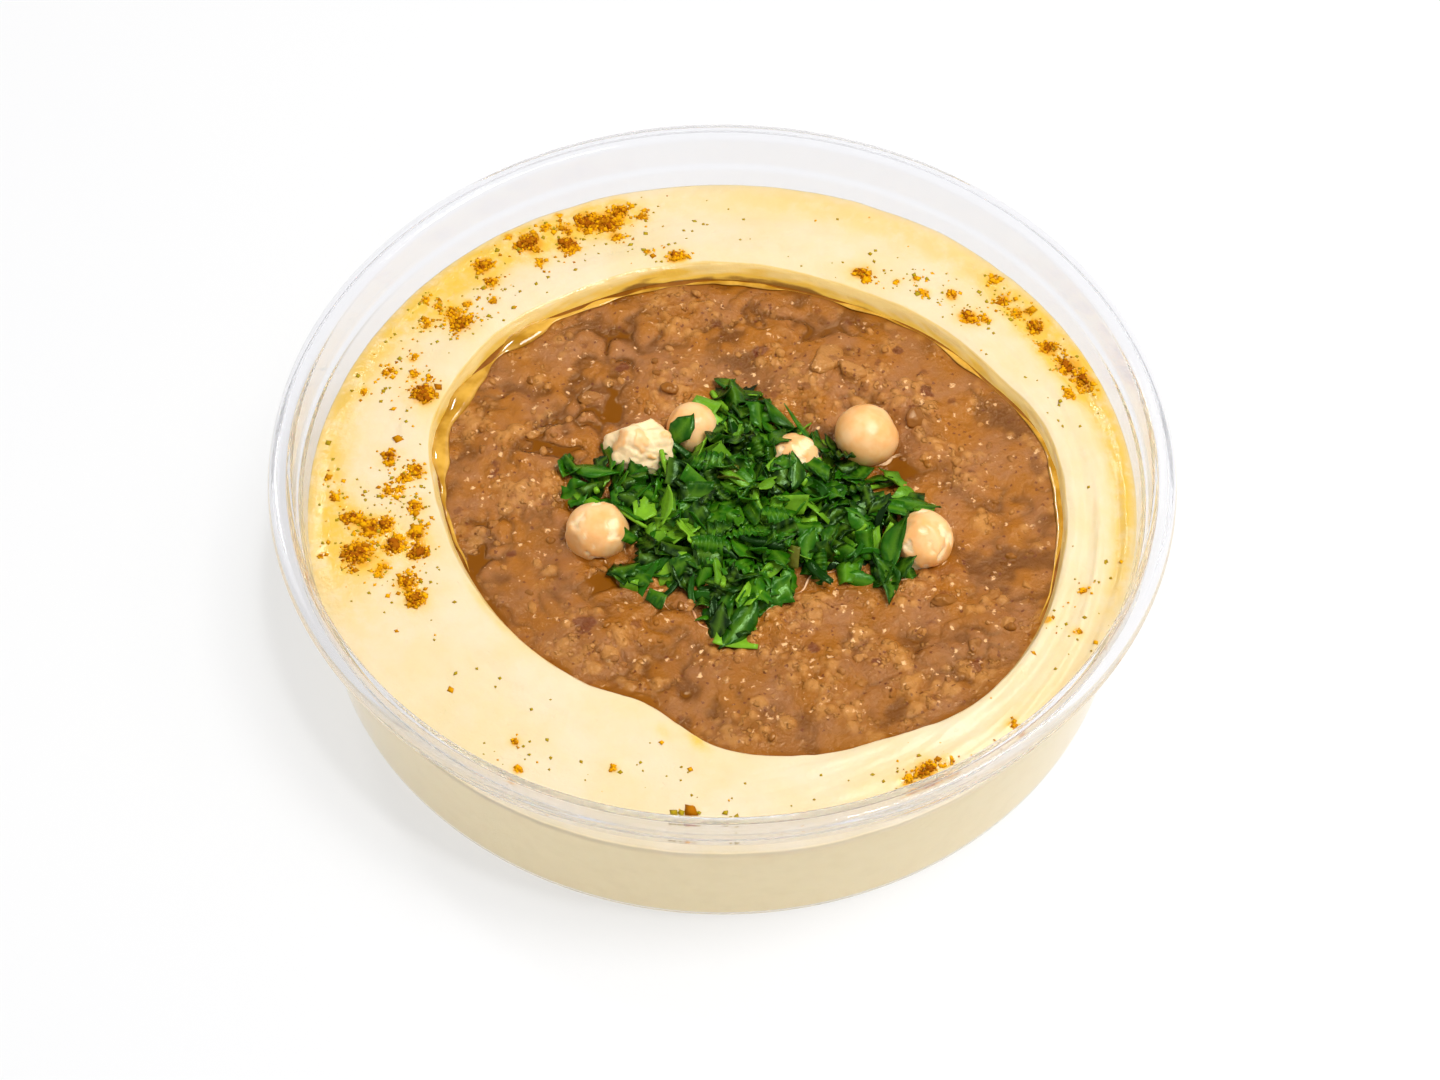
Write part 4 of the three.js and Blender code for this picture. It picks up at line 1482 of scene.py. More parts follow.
@dataclass
class Ful:
    """The mashed fava beans in the well, with grains, folds and pools of oil."""

    finish: MashFinish
    bed: HummusBed
    level: float = 22.4
    tilt: float = 0.6 / 50
    lump: float = 0.42
    dip: Mound = Mound(5.0, -2.0, 20.0, 0.7)
    mounds: tuple[Mound, ...] = each(
        Mound,
        (18.2, 27.1, 5.2, 1.5), (31.2, 16.8, 3.4, 1.2), (35.1, -19.1, 3, 0.9), (41, -25, 5.5, 1.1),
        (15, -32, 12, 1.2), (-21, -23, 9, 0.7), (-31, 9, 6.5, 0.9), (0, 34, 9, 0.7),
    )
    creases: tuple[Crease, ...] = each(
        Crease,
        ((2.4, -24.6), (17.4, -12.4), 0.9, 5), ((-39, -5.4), (-29.5, -9.6), 0.6, 3), ((-26, -19), (-14, -27)),
        ((25, -36), (37, -22), 0.7, 5), ((-12, 26), (-2, 22), 0.6), ((32, 2), (42, 9), 0.6),
    )
    pools: tuple[Mound, ...] = each(
        Mound,
        (28.5, 7.5, 4.6, 0.85), (-18.5, -14.5, 3.6, 0.75), (-9, -20.5, 2.6, 0.7), (24.5, 24.5, 2.4, 0.6),
        (-8, 24, 3.2, 0.55), (-18, 17, 3, 0.6), (3, 20.5, 2.4, 0.5), (14, 19, 3, 0.55),
        (-38, -13, 3, 0.6), (-5, -37.5, 3.2, 0.55),
    )
    skins: tuple[Point, ...] = (
        (14.4, -28.9, 0.9), (-21.1, -24.6, 1.7), (39.4, -31.1, 1.3), (-36.5, 6, 1.5), (6, 30.5, 1.4),
        (33, 22.5, 1.2), (-16.5, 27.5, 1.1), (28.5, 31.5, 0.9), (-33, -10.5, 0.8), (24, -31, 0.8),
    )
    cells: int = 304
    grains: int = 5200
    noise_seed: int = 21
    grain_seed: int = 33

    def __post_init__(self) -> None:
        """Stamps the crowded grains on a map of heights."""
        self.noise = Noise(self.noise_seed)
        self.raster = Raster((0.0, 0.0), 62.0, 0.2)
        rng = np.random.default_rng(self.grain_seed)
        places = rng.uniform(-58, 58, (self.grains * 2, 2))
        crowd = self.noise.over(places[:, 0], places[:, 1], 8.0, 2)
        places = places[crowd + rng.uniform(-0.25, 0.25, len(places)) > 0.25]
        radii = np.clip(0.6 * rng.lognormal(0, 0.4, len(places)), 0.4, 1.6)
        self.raster.stamp_domes(places, radii, 0.5 * radii)

    def height(self, x: Array, y: Array) -> Array:
        """Height of the mash's main form, as in the frame."""
        mounds = sum(mound.rise(x, y) for mound in self.mounds)
        return self.level + self.tilt * y - self.dip.rise(x, y) + mounds + self.lump * unevenness(x, y, 15)

    def surface(self, x: Array, y: Array) -> tuple[Array, dict[str, Array]]:
        """The finished surface.

        Args:
            x: Places across.
            y: Places away.

        Returns:
            Height, and the values from 0 to 1 that the finish reads: grains, oil, painted shade in the
            hollows and darker towards the front, crowded grains and dark skins.
        """
        form = self.height(x, y)
        folds = sum(crease.height(x, y) for crease in self.creases)
        grain = self.raster.sample(x, y)
        broad = 0.45 * self.noise.over(x, y, 9.0, 2)
        rough = 0.75 + 0.9 * self.noise.over(x, y + 70, 12.0)
        medium = np.clip(rough, 0.25, 1.4) * (0.9 * np.abs(self.noise.over(x + 40, y, 4.6, 2)) - 0.25)
        mash = form + 0.6 * folds + broad + medium + grain
        pools = sum(pool.rise(x, y) for pool in self.pools)
        spread = 0.3 * self.noise.over(x - 90, y, 13.0)
        oil_level = form - 0.45 + 0.75 * pools + spread
        depth = oil_level - mash
        oil = ease(depth, -0.1, 0.12)
        # Painted shade in the hollows, partly oil pooled there; the next line also darkens the mash towards
        # the front.
        hollow_shade = ease(-(broad + medium) + 0.4 * pools, -0.1, 0.4)
        hollow_shade = hollow_shade + 0.22 * ease(-y, 8, 34) * (1 - hollow_shade)
        smooth = 0.5 * (mash + oil_level + np.sqrt((mash - oil_level) ** 2 + 0.01))
        dry = 1 - oil
        ragged = 1 + self.noise.over(x, y - 50, 1.6, 2)
        skin = sum(ease(bump(np.hypot(x - a, y - b), r) * ragged, 0.3, 0.55) for a, b, r in self.skins)
        looks = {
            "grain": np.clip(grain / 0.4, 0, 1) * dry,
            "oil": oil,
            "hollow_shade": hollow_shade,
            "crowd": ease(self.noise.over(x, y, 8.0, 2), -0.1, 0.3) * dry,
            "skin": 0.75 * np.clip(skin, 0, 1),
        }
        return smooth, looks

    def build(self, peas: Sequence["Chickpea"]) -> None:
        """Makes the mash and lets it stand for its solid.

        Args:
            peas: The chickpeas, round which it is wet, with a darker oil ring that is partly painted shade.
        """
        side = np.linspace(-1, 1, self.cells + 1)
        u, v = np.meshgrid(side, side, indexing="ij")
        disc_x, disc_y = u * np.sqrt(1 - v * v / 2), v * np.sqrt(1 - u * u / 2)
        angle = np.arctan2(disc_y, disc_x)
        share = np.hypot(disc_x, disc_y)
        edge = self.bed.edge_at(angle)
        reach = edge.radius + 0.35
        x, y = share * reach * np.cos(angle), share * reach * np.sin(angle)
        height, looks = self.surface(x, y)
        oil = looks["oil"]
        for pea in peas:
            ring = np.hypot(x - pea.x, y - pea.y) - pea.waist()
            height = height + 0.5 * np.exp(-np.maximum(ring, 0) / 0.45) * (ring > -1.2)
            # The darker oil ring round each pea is partly wet oil and partly painted shade where pea and mash
            # meet.
            oil = np.maximum(oil, np.exp(-np.maximum(ring - 0.15, 0) / 0.5))
        away = (1 - share) * reach
        film = np.exp(-away / 0.9)
        height = height + ease(share, 0.86, 1.0) * (edge.height - height) + 0.25 * film
        ragged = (0.5 + 0.5 * self.noise.over(x, y, 5.0)) * (0.7 + 0.6 * towards(angle, -2.4, 0.8))
        oil = np.clip(np.maximum(oil, film * (0.4 + 0.6 * edge.far) + ragged * np.exp(-away / 4.0)), 0, 1)
        top = np.stack([x, y, height], axis=-1).reshape(-1, 3)
        count = self.cells + 1
        quads, loop = grid_faces(np.arange(count * count).reshape(count, count))
        rings = [top[loop]]
        for drop, pull in ((1.2, 0.985), (4.0, 0.94), (6.6, 0.8)):
            rings.append(top[loop] * [pull, pull, 1] - [0, 0, drop])
        skirt = np.concatenate(rings[1:])
        middle = [[0, 0, self.bed.well_floor + GAP]]
        faces = quads.tolist() + self._skirt_faces(loop, len(top), len(rings) - 1)
        points = np.concatenate([top, skirt, middle])
        extra = np.zeros(len(skirt) + 1)
        looks["oil"] = oil
        values = {key: np.concatenate([value.ravel(), extra]) for key, value in looks.items()}
        shape = Shape(points, faces, values)
        settle(shape.to_object("ful_mash", self.finish.make()), "ful", "ful")

    @staticmethod
    def _skirt_faces(loop: Array, start: int, rings: int) -> list[Sequence[int]]:
        """Faces that close the grid's border downwards, ring by ring, to one point.

        Args:
            loop: Indices of the border's points.
            start: Index of the first ring's first point.
            rings: How many rings there are below the border.

        Returns:
            Quads between the rings, and triangles to the point after the last ring.
        """
        rows = np.vstack([loop, start + np.arange(rings * len(loop)).reshape(rings, -1)])
        quads, _ = grid_faces(np.hstack([rows, rows[:, :1]]))
        last, after = rows[-1].tolist(), np.roll(rows[-1], -1).tolist()
        bottom = start + rings * len(loop)
        return quads.tolist() + [(bottom, beyond, here) for here, beyond in zip(last, after)]


# ---- Chickpeas ----


@dataclass
class Chickpea:
    """One cooked chickpea, half sunk in the mash."""

    name: str
    x: float
    y: float
    radius: float
    lift: float
    turn: float
    tip: float
    broken: float = 0.0
    long: float = 1.0
    beak: float = 0.14
    beak_width: float = 0.45
    seam: float = 0.05
    flattening: float = 0.06
    around: int = 96
    rings: int = 64

    def centre(self, ful: Ful) -> Array:
        """The middle of the pea."""
        x, y = np.array(self.x), np.array(self.y)
        return np.array([self.x, self.y, float(ful.height(x, y)) + self.lift * self.radius])

    def waist(self) -> float:
        """Radius of the pea where the mash meets it."""
        return self.radius * math.sqrt(1 - self.lift**2)

    def build(self, ful: Ful, material: Material) -> None:
        """Makes the pea and lets it stand for its solid.

        Args:
            ful: The mash that it lies in.
            material: The finish that the peas share.
        """
        unit, faces = ball(self.around, self.rings)
        noise = Noise(40 + len(self.name))
        beak = self.beak * bump(np.arccos(np.clip(unit[:, 0], -1, 1)), self.beak_width)
        seam = -self.seam * bump(unit[:, 1], 0.22) * np.maximum(0, unit[:, 0] + 0.4)
        flat = -self.flattening * unit[:, 2] ** 2
        uneven = unevenness(unit[:, 0] * 2 + self.turn, unit[:, 1] * 2 + unit[:, 2] * 1.4, 2.6)
        torn = noise.at(unit, 0.8, 3)
        flesh = ease(torn + 8 * self.broken, 0.55, 0.75) if self.broken else np.zeros(len(unit))
        crumbs = -0.05 * flesh * (1 + 0.8 * noise.at(unit, 0.22, 2))
        dents = 0.015 * noise.at(unit + 3, 0.7, 2)
        lobes = max(0.0, self.broken - 0.05) * 1.5 * np.cos(5 * np.arctan2(unit[:, 1], unit[:, 0]) + 0.8)
        lobes = lobes * (1 - unit[:, 2] ** 2)
        shape = 1 + beak + seam + flat + 1.5 * self.broken * uneven + lobes
        scale = self.radius * (self._cut(unit, shape) + crumbs + dents)
        points = unit * scale[:, None] * [self.long, 1, 1]
        turned_to = spin(math.radians(self.turn), math.radians(self.tip))
        laid = Shape(points, faces).moved(turned_to, self.centre(ful))
        sunk = laid.points[:, 2] - self.centre(ful)[2]
        # Painted shade: how far below the pea's middle each point lies, for the golden lower part.
        low = ease(-sunk / self.radius, -0.25, 0.5) * (0.65 + 0.35 * noise.at(unit, 0.9))
        laid.values = {"low": np.clip(low, 0, 1), "flesh": flesh}
        settle(laid.to_object(f"pea_{self.name}", material), "chickpea", f"chickpea_{self.name}")

    def _cut(self, unit: Array, shape: Array) -> Array:
        """The pea's radii with flat places cut on it, more and deeper ones where it is broken."""
        rng = np.random.default_rng(len(self.name) * 31 + int(self.turn))
        return cut_flat(unit, shape, rng, 4 + round(self.broken * 50), (0.93 - self.broken * 1.1, 0.99))


# ---- Parsley ----


class Cut(Enum):
    """How a piece of parsley was cut: length and width ranges, point at the ends, teeth and fold."""

    CHIP = ((3.4, 6.8), (2.4, 4.8), (0.25, 0.6), 0.10, 0.5)
    SHRED = ((3.5, 7.5), (0.9, 1.8), (0.1, 0.5), 0.05, 0.4)
    TIP = ((4.0, 7.0), (2.8, 4.6), (0.7, 1.0), 0.28, 0.45)
    BLADE = ((8.5, 10.5), (3.2, 4.2), (0.95, 1.0), 0.05, 0.35)
    RUFFLE = ((5.5, 8.0), (2.4, 3.6), (0.1, 0.5), 0.05, 0.25)


@dataclass
class ParsleyHeap:
    """The heap of chopped parsley: leaves and stalks dropped one by one on a low core."""

    finish: LeafFinish
    ful: Ful
    x: float = 5.0
    y: float = -2.0
    core_height: float = 1.7
    core_unevenness: float = 0.4
    core_share: float = 0.74
    thickness: float = 0.2
    layer: float = 0.45
    tries: int = 4
    inset: float = 1.4
    counts: dict[Cut, int] = field(
        default_factory=lambda: {Cut.CHIP: 215, Cut.SHRED: 80, Cut.TIP: 100, Cut.RUFFLE: 26}
    )
    stalks: int = 18
    seed: int = 58
    reach: tuple[float, ...] = (
        29.5, 24.5, 18.5, 18.5, 18.5, 19.5, 25.0, 25.5, 19.5, 18.5, 19.5, 33.0,
        26.5, 21.0, 26.5, 25.5, 21.0, 24.0, 27.0, 18.0, 17.5, 21.0, 28.5, 27.0,
    )
    holes: tuple[Point, ...] = ((12.2, 6.4, 1.5), (8.3, 6.9, 1.0), (-2.6, 14.8, 2.6))
    laid: tuple[tuple[Cut, float, float, float], ...] = (
        (Cut.BLADE, -20.6, 4.4, 158), (Cut.BLADE, 3.4, -24.4, 240), (Cut.BLADE, 26.4, -15.4, 285),
        (Cut.TIP, 1.8, 20, 100), (Cut.BLADE, 29.4, -0.9, -20), (Cut.BLADE, 13.5, 11.8, 162),
        (Cut.BLADE, 27, -10, 262), (Cut.BLADE, 9.5, 16, 145), (Cut.TIP, -6.8, 10.6, 235),
        (Cut.CHIP, 21, 3.6, 30), (Cut.TIP, -15, -14, 205), (Cut.TIP, 0.5, 24, 80),
        (Cut.TIP, 8.4, 10, 120), (Cut.CHIP, 15.2, 9.8, 60), (Cut.CHIP, 9, 4.8, 20),
        (Cut.CHIP, 14.8, 4.8, -30), (Cut.TIP, 11.9, 3.4, 90), (Cut.CHIP, 8, 7.4, 95),
        (Cut.RUFFLE, -3.2, 5.2, 150), (Cut.RUFFLE, -1.6, -8.4, 172), (Cut.RUFFLE, -1, -11.6, 176),
        (Cut.RUFFLE, 9, -6, 20), (Cut.TIP, -14.6, -4.4, 200), (Cut.CHIP, -14.8, -9, 150),
    )

    def build(self, peas: Sequence[Chickpea]) -> None:
        """Makes the core, the leaves and the stalks, which stand for the solid heap.

        Args:
            peas: The chickpeas that the leaves lie round.
        """
        material = self.finish.make()
        rng = self.rng = np.random.default_rng(self.seed)
        self.peas = peas
        self._start_heap()
        settle(self._core().to_object("parsley_core", material), "parsley")
        laid, stalks = [], []
        cuts = [cut for cut, count in self.counts.items() for _ in range(count)]
        order = rng.permutation(len(cuts))
        stalk_turns = set(rng.choice(len(cuts), self.stalks, replace=False).tolist())
        for turn, index in enumerate(order):
            late = turn / len(order)
            laid.append(self._drop(self._leaf(cuts[index]), *self._place(), late))
            if turn in stalk_turns:
                stalks.append(self._drop(self._stalk(), *self._place(), late))
        for cut, x, y, bearing in self.laid:
            piece = self._leaf(cut)
            piece.values["tint"] = 0.25 + 0.5 * piece.values["tint"]
            laid.append(self._drop(piece, x, y, 1.0, math.radians(bearing)))
        settle(joined(laid).to_object("parsley_leaves", material), "parsley", "parsley")
        settle(joined(stalks).to_object("parsley_stalks", material), "parsley")

    def _start_heap(self) -> None:
        """Starts the map of heights with the mash, the core and the peas."""
        self.heap = Raster((self.x, self.y), 40.0, 0.35)
        x, y = self.heap.places()
        self.heap.grid = np.maximum(self.ful.surface(x, y)[0], self._core_top(x, y))
        for pea in self.peas:
            away = np.hypot(x - pea.x, y - pea.y) / pea.radius
            top = pea.centre(self.ful)[2] + pea.radius * np.sqrt(np.clip(1 - away**2, 0, 1))
            self.heap.grid = np.where(away < 1, np.maximum(self.heap.grid, top), self.heap.grid)

    def _share(self, x: Array, y: Array) -> Array:
        """How far out a place is, as a share of the heap's outline."""
        bearing = np.arctan2(y - self.y, x - self.x)
        return np.hypot(x - self.x, y - self.y) / outline_radius(self.reach, bearing)

    def _core_top(self, x: Array, y: Array) -> Array:
        """Height of the core's top.

        Args:
            x: Places across.
            y: Places away.

        Returns:
            The heights, which lie under the mash beyond the core.
        """
        share = np.clip(self._share(x, y) / self.core_share, 0, 1)
        dome = self.core_height * np.sqrt(np.clip(1 - share**2, 0, 1))
        dome = dome + self.core_unevenness * unevenness(x, y, 9) * (share < 1)
        return self.ful.height(x, y) + np.where(share < 1, dome, -1.0)

    def _core(self) -> Shape:
        """The core.

        Returns:
            A low mound that closes the gaps between the leaves, in the darkest green, as painted shade in
            those gaps.
        """
        count, shares = 96, np.linspace(0.08, 1, 16)
        angle = np.arange(count) / count * TURN
        reach = outline_radius(self.reach, angle) * self.core_share
        rings = []
        for share in shares:
            x, y = self.x + reach * share * np.cos(angle), self.y + reach * share * np.sin(angle)
            rings.append(np.stack([x, y, self._core_top(x * 0.999 + self.x * 0.001, y)], axis=1))
        x, y = rings[-1][:, 0], rings[-1][:, 1]
        rings[-1][:, 2] = self.ful.height(x, y) - 0.5
        rings.append(np.stack([x, y, self.ful.height(x, y) - 1.5], axis=1))
        middle = float(self._core_top(np.array(self.x), np.array(self.y)))
        points = np.concatenate([*rings, [[self.x, self.y, middle], [self.x, self.y, 20.0]]])
        faces = ring_faces(len(rings), count, len(points) - 2, len(points) - 1)
        # Painted shade: tint 0 gives the core the darkest green, seen in the gaps between the leaves.
        nothing = np.zeros(len(points))
        return Shape(points, faces, {"tint": nothing, "vein": nothing, "dry": nothing})

    def _place(self) -> Span:
        """Picks where a piece falls.

        Returns:
            x and y of the thinnest of a few places inside the outline, on no pea but the middle one.
        """
        while True:
            bearings = self.rng.uniform(0, TURN, self.tries)
            shares = np.sqrt(self.rng.random(self.tries))
            reaches = (outline_radius(self.reach, bearings) - self.inset) * shares
            xs, ys = self.x + reaches * np.cos(bearings), self.y + reaches * np.sin(bearings)
            thinnest = int(np.argmin(self.heap.sample(xs, ys) - self._core_top(xs, ys)))
            x, y = float(xs[thinnest]), float(ys[thinnest])
            on_pea = any(math.hypot(x - p.x, y - p.y) < p.radius and p.name != "middle" for p in self.peas)
            in_hole = any(math.hypot(x - hole[0], y - hole[1]) < hole[2] for hole in self.holes)
            if not (on_pea or in_hole):
                return x, y

    def _leaf(self, cut: Cut) -> Shape:
        """One chopped piece.

        Args:
            cut: How it was cut.

        Returns:
            A thin folded and curled sheet with both faces and a rim.
        """
        rng = self.rng
        lengths, widths, points_range, teeth, fold = cut.value
        length, width = rng.uniform(*lengths), rng.uniform(*widths)
        ruffled = cut is Cut.RUFFLE
        steps, across = (30, 4) if ruffled else (8, 4)
        u = np.linspace(-1, 1, steps + 1)[:, None]
        v = np.linspace(-1, 1, across + 1)[None, :]
        if cut is Cut.CHIP:
            x, y = self._cut_corners(u, v, length, width, rng)
        else:
            pointed = rng.uniform(*points_range, 2)
            narrow = np.where(u < 0, pointed[0], pointed[1])
            half = width / 2 * (1 - narrow * np.abs(u) ** rng.uniform(1.2, 2.2))
            saw = 1 + teeth * rng.uniform(-1, 1, (steps + 1, 1)) * np.abs(v)
            x = u * length / 2 + rng.uniform(-0.1, 0.1, v.shape) * length * np.abs(u)
            y = half * v * saw + rng.uniform(-0.18, 0.18) * length * u**2
        folded = rng.normal(0, fold)
        curl = rng.normal(0, 0.4)
        z = np.abs(y) * math.tan(np.clip(folded, -0.9, 0.9)) + curl * (x / length) ** 2 * length * 0.5
        z = z + 0.1 * width * np.sin(3 * u + rng.uniform(0, TURN)) * v * rng.uniform(0, 1)
        if ruffled:
            z = z + 0.34 * np.sin(TURN * x / rng.uniform(0.95, 1.3) + 1.2 * v)
        sheet = np.stack(np.broadcast_arrays(x, y, z), axis=-1).reshape(-1, 3)
        tint = np.full(len(sheet), rng.beta(0.8, 1.05))
        side_veins = 0.55 * bump(np.sin(4.5 * (u - 0.5 * np.abs(v))), 0.35)
        veins = np.maximum(bump(v, 0.14), side_veins).ravel()
        dry = np.full(len(sheet), 0.6 * (rng.random() < 0.02))
        values = {"tint": tint, "vein": veins * (cut is not Cut.SHRED), "dry": dry}
        return self._solid_sheet(sheet, (steps + 1, across + 1), values)

    @staticmethod
    def _cut_corners(
        u: Array, v: Array, length: float, width: float, rng: Rng
    ) -> tuple[Array, Array]:
        """A four-cornered scrap with straight cut sides.

        Args:
            u: Places along it, from -1 to 1, as one column.
            v: Places across it, from -1 to 1, as one row.
            length: Its length.
            width: Its width.
            rng: Source of its corners.

        Returns:
            x and y over the grid.
        """
        corners = np.array([(-1, -1), (1, -1), (1, 1), (-1, 1)]) * rng.uniform(0.45, 1.1, (4, 2))
        corners = corners * [length / 2, width / 2]
        weights = ((1 - u) * (1 - v), (1 + u) * (1 - v), (1 + u) * (1 + v), (1 - u) * (1 + v))
        x = sum(weight / 4 * corner[0] for weight, corner in zip(weights, corners))
        y = sum(weight / 4 * corner[1] for weight, corner in zip(weights, corners))
        return x, y

    def _solid_sheet(self, sheet: Array, size: tuple[int, int], values: dict[str, Array]) -> Shape:
        """A closed sheet of the leaf's thickness.

        Args:
            sheet: Its points, row by row.
            size: How many rows and columns they have.
            values: Values at the points.

        Returns:
            The sheet, with a paler underside.
        """
        quads, loop = grid_faces(np.arange(len(sheet)).reshape(size))
        after = np.roll(loop, -1)
        under = len(sheet)
        rim = np.stack([loop, loop + under, after + under, after], axis=-1)
        faces = np.concatenate([quads, quads[:, ::-1] + under, rim]).tolist()
        points = np.concatenate([sheet + [0, 0, self.thickness / 2], sheet - [0, 0, self.thickness / 2]])
        both = {key: np.concatenate([value, value]) for key, value in values.items()}
        both["tint"][under:] = np.clip(both["tint"][under:] + 0.15, 0, 1)
        return Shape(points, faces, both)

    def _stalk(self) -> Shape:
        """One piece of stalk.

        Returns:
            A short, slightly bent rod.
        """
        length = self.rng.uniform(2.5, 6.0)
        u = np.linspace(-0.5, 0.5, 7)
        bend = self.rng.uniform(-0.8, 0.8)
        line = np.stack([u * length, bend * u**2 * 2, np.zeros(7)], axis=1)
        shape = tube(line, np.full(7, self.rng.uniform(0.28, 0.5)), 8)
        count = len(shape.points)
        shape.values = {"tint": np.full(count, 0.95), "vein": np.full(count, 0.8), "dry": np.zeros(count)}
        return shape

    def _drop(self, piece: Shape, x: float, y: float, late: float, bearing: float | None = None) -> Shape:
        """Drops a piece on the heap.

        Args:
            piece: The piece, lying flat at the origin.
            x: Where it falls, to the right.
            y: Where it falls, away from the front.
            late: Share of the pieces that have fallen already, as the first ones lie flatter.
            bearing: Its direction, for a piece that is laid from the list.

        Returns:
            The piece where it comes to rest. The heap's map of heights is raised under it.
        """
        outward = float(self._share(np.array(x), np.array(y)))
        steep = (0.2 + 0.25 * late) * (1.15 - 0.5 * outward)
        turn = self.rng.uniform(0, TURN) if bearing is None else bearing
        steep = steep if bearing is None else 0.4 * steep
        matrix = self._lean(x, y) @ spin(turn, *self.rng.normal(0, steep, 2))
        laid = piece.moved(matrix, (x, y, 0.0))
        ground = self.heap.sample(laid.points[:, 0], laid.points[:, 1])
        lift = float(np.percentile(ground - laid.points[:, 2], 70))
        laid.points[:, 2] += lift
        cells = np.round((laid.points[:, :2] - self.heap.low) / self.heap.cell).astype(int)
        cells = np.clip(cells, 1, len(self.heap.grid) - 2)
        raised = np.minimum(laid.points[:, 2], ground + self.layer)
        for i, j in itertools.product((-1, 0, 1), repeat=2):
            np.maximum.at(self.heap.grid, (cells[:, 0] + i, cells[:, 1] + j), raised)
        return laid

    def _lean(self, x: float, y: float, reach: float = 1.3) -> Array:
        """The turn that lays a flat piece along the heap's slope.

        Args:
            x: Its place to the right.
            y: Its place away from the front.
            reach: How far round the place the slope is measured.

        Returns:
            A rotation.
        """
        xs, ys = np.array([x + reach, x - reach, x, x]), np.array([y, y, y + reach, y - reach])
        right, left, far, near = self.heap.sample(xs, ys)
        tilts = np.arctan(np.clip([(right - left) / (2 * reach), (far - near) / (2 * reach)], -0.9, 0.9))
        about_x, about_y = float(tilts[1]), -float(tilts[0])
        return np.array(Matrix.Rotation(about_x, 3, "X") @ Matrix.Rotation(about_y, 3, "Y"))


# ---- Oil and loose bean pieces ----


@dataclass
class OilBead:
    """The bead of oil that follows the edge of the mash along the well's wall."""

    finish: OilFinish
    bed: HummusBed
    start: float = math.radians(-25)
    end: float = math.radians(200)
    thick: float = 1.1
    flat: float = 0.4
    points: int = 520
    seed: int = 61

    def build(self) -> None:
        """Makes the bead as a thin uneven tube."""
        angle = np.linspace(self.start, self.end, self.points)
        edge = self.bed.edge_at(angle)
        noise = Noise(self.seed)
        wander = noise.over(angle * 50, np.zeros_like(angle), 7.0, 2)
        wide = 0.6 + 0.9 * towards(angle, 2.6, 0.75)
        radius = edge.radius + 0.3 - 0.7 * wide + 0.3 * wander
        centres = np.stack([radius * np.cos(angle), radius * np.sin(angle), edge.height + 0.22], axis=1)
        ends = np.clip(np.minimum(angle - self.start, self.end - angle) / 0.3, 0.02, 1)
        swell = 0.55 + 0.6 * noise.over(angle * 50, np.full_like(angle, 9.0), 12.0, 2)
        radii = self.thick * wide * ends * np.clip(2.2 * swell - 0.6, 0.05, 1.1)
        shape = tube(centres, radii, 10, self.flat)
        settle(shape.to_object("oil_bead", self.finish.make()), "oil")


@dataclass
class WetGlintEdges:
    """Thin wet beads on the edges of the mash's sharper folds, which catch the light; their pale colour is a
    painted highlight along those edges.
    """

    finish: OilFinish
    ful: Ful
    thick: float = 0.2
    seed: int = 67
    lines: tuple[Crease, ...] = each(
        Crease,
        ((2.4, -24.6), (17.4, -12.4)), ((-6.5, -20), (-1.5, -24.5)),
        ((-12, -17.5), (-7.5, -20.5)), ((25.5, -16.5), (29, -15)),
    )

    def build(self) -> None:
        """Makes the beads as thin uneven tubes on the mash."""
        noise = Noise(self.seed)
        beads = []
        for crease in self.lines:
            x, y = crease.line()
            height, _ = self.ful.surface(x, y)
            centres = np.stack([x, y, height + 0.04], axis=1)
            swell = np.clip(0.7 + 0.8 * noise.over(x, y, 3.0, 2), 0.1, 1.3)
            ends = np.sqrt(np.clip(np.sin(np.linspace(0.02, math.pi - 0.02, len(x))), 0, 1))
            beads.append(tube(centres, self.thick * swell * ends, 8))
        settle(joined(beads).to_object("wet_glint_edges", self.finish.make()), "ful")


class Bit(Enum):
    """Kinds of loose piece in the mash, by the shares of grain and oil that colour them."""

    PALE = (0.85, 0.0)
    BROWN = (0.35, 0.15)
    AMBER = (0.25, 0.8)


@dataclass
class BeanPiece:
    """A piece of bean in the mash: its kind, place, length, width and bearing in degrees."""

    kind: Bit
    x: float
    y: float
    length: float
    width: float
    bearing: float


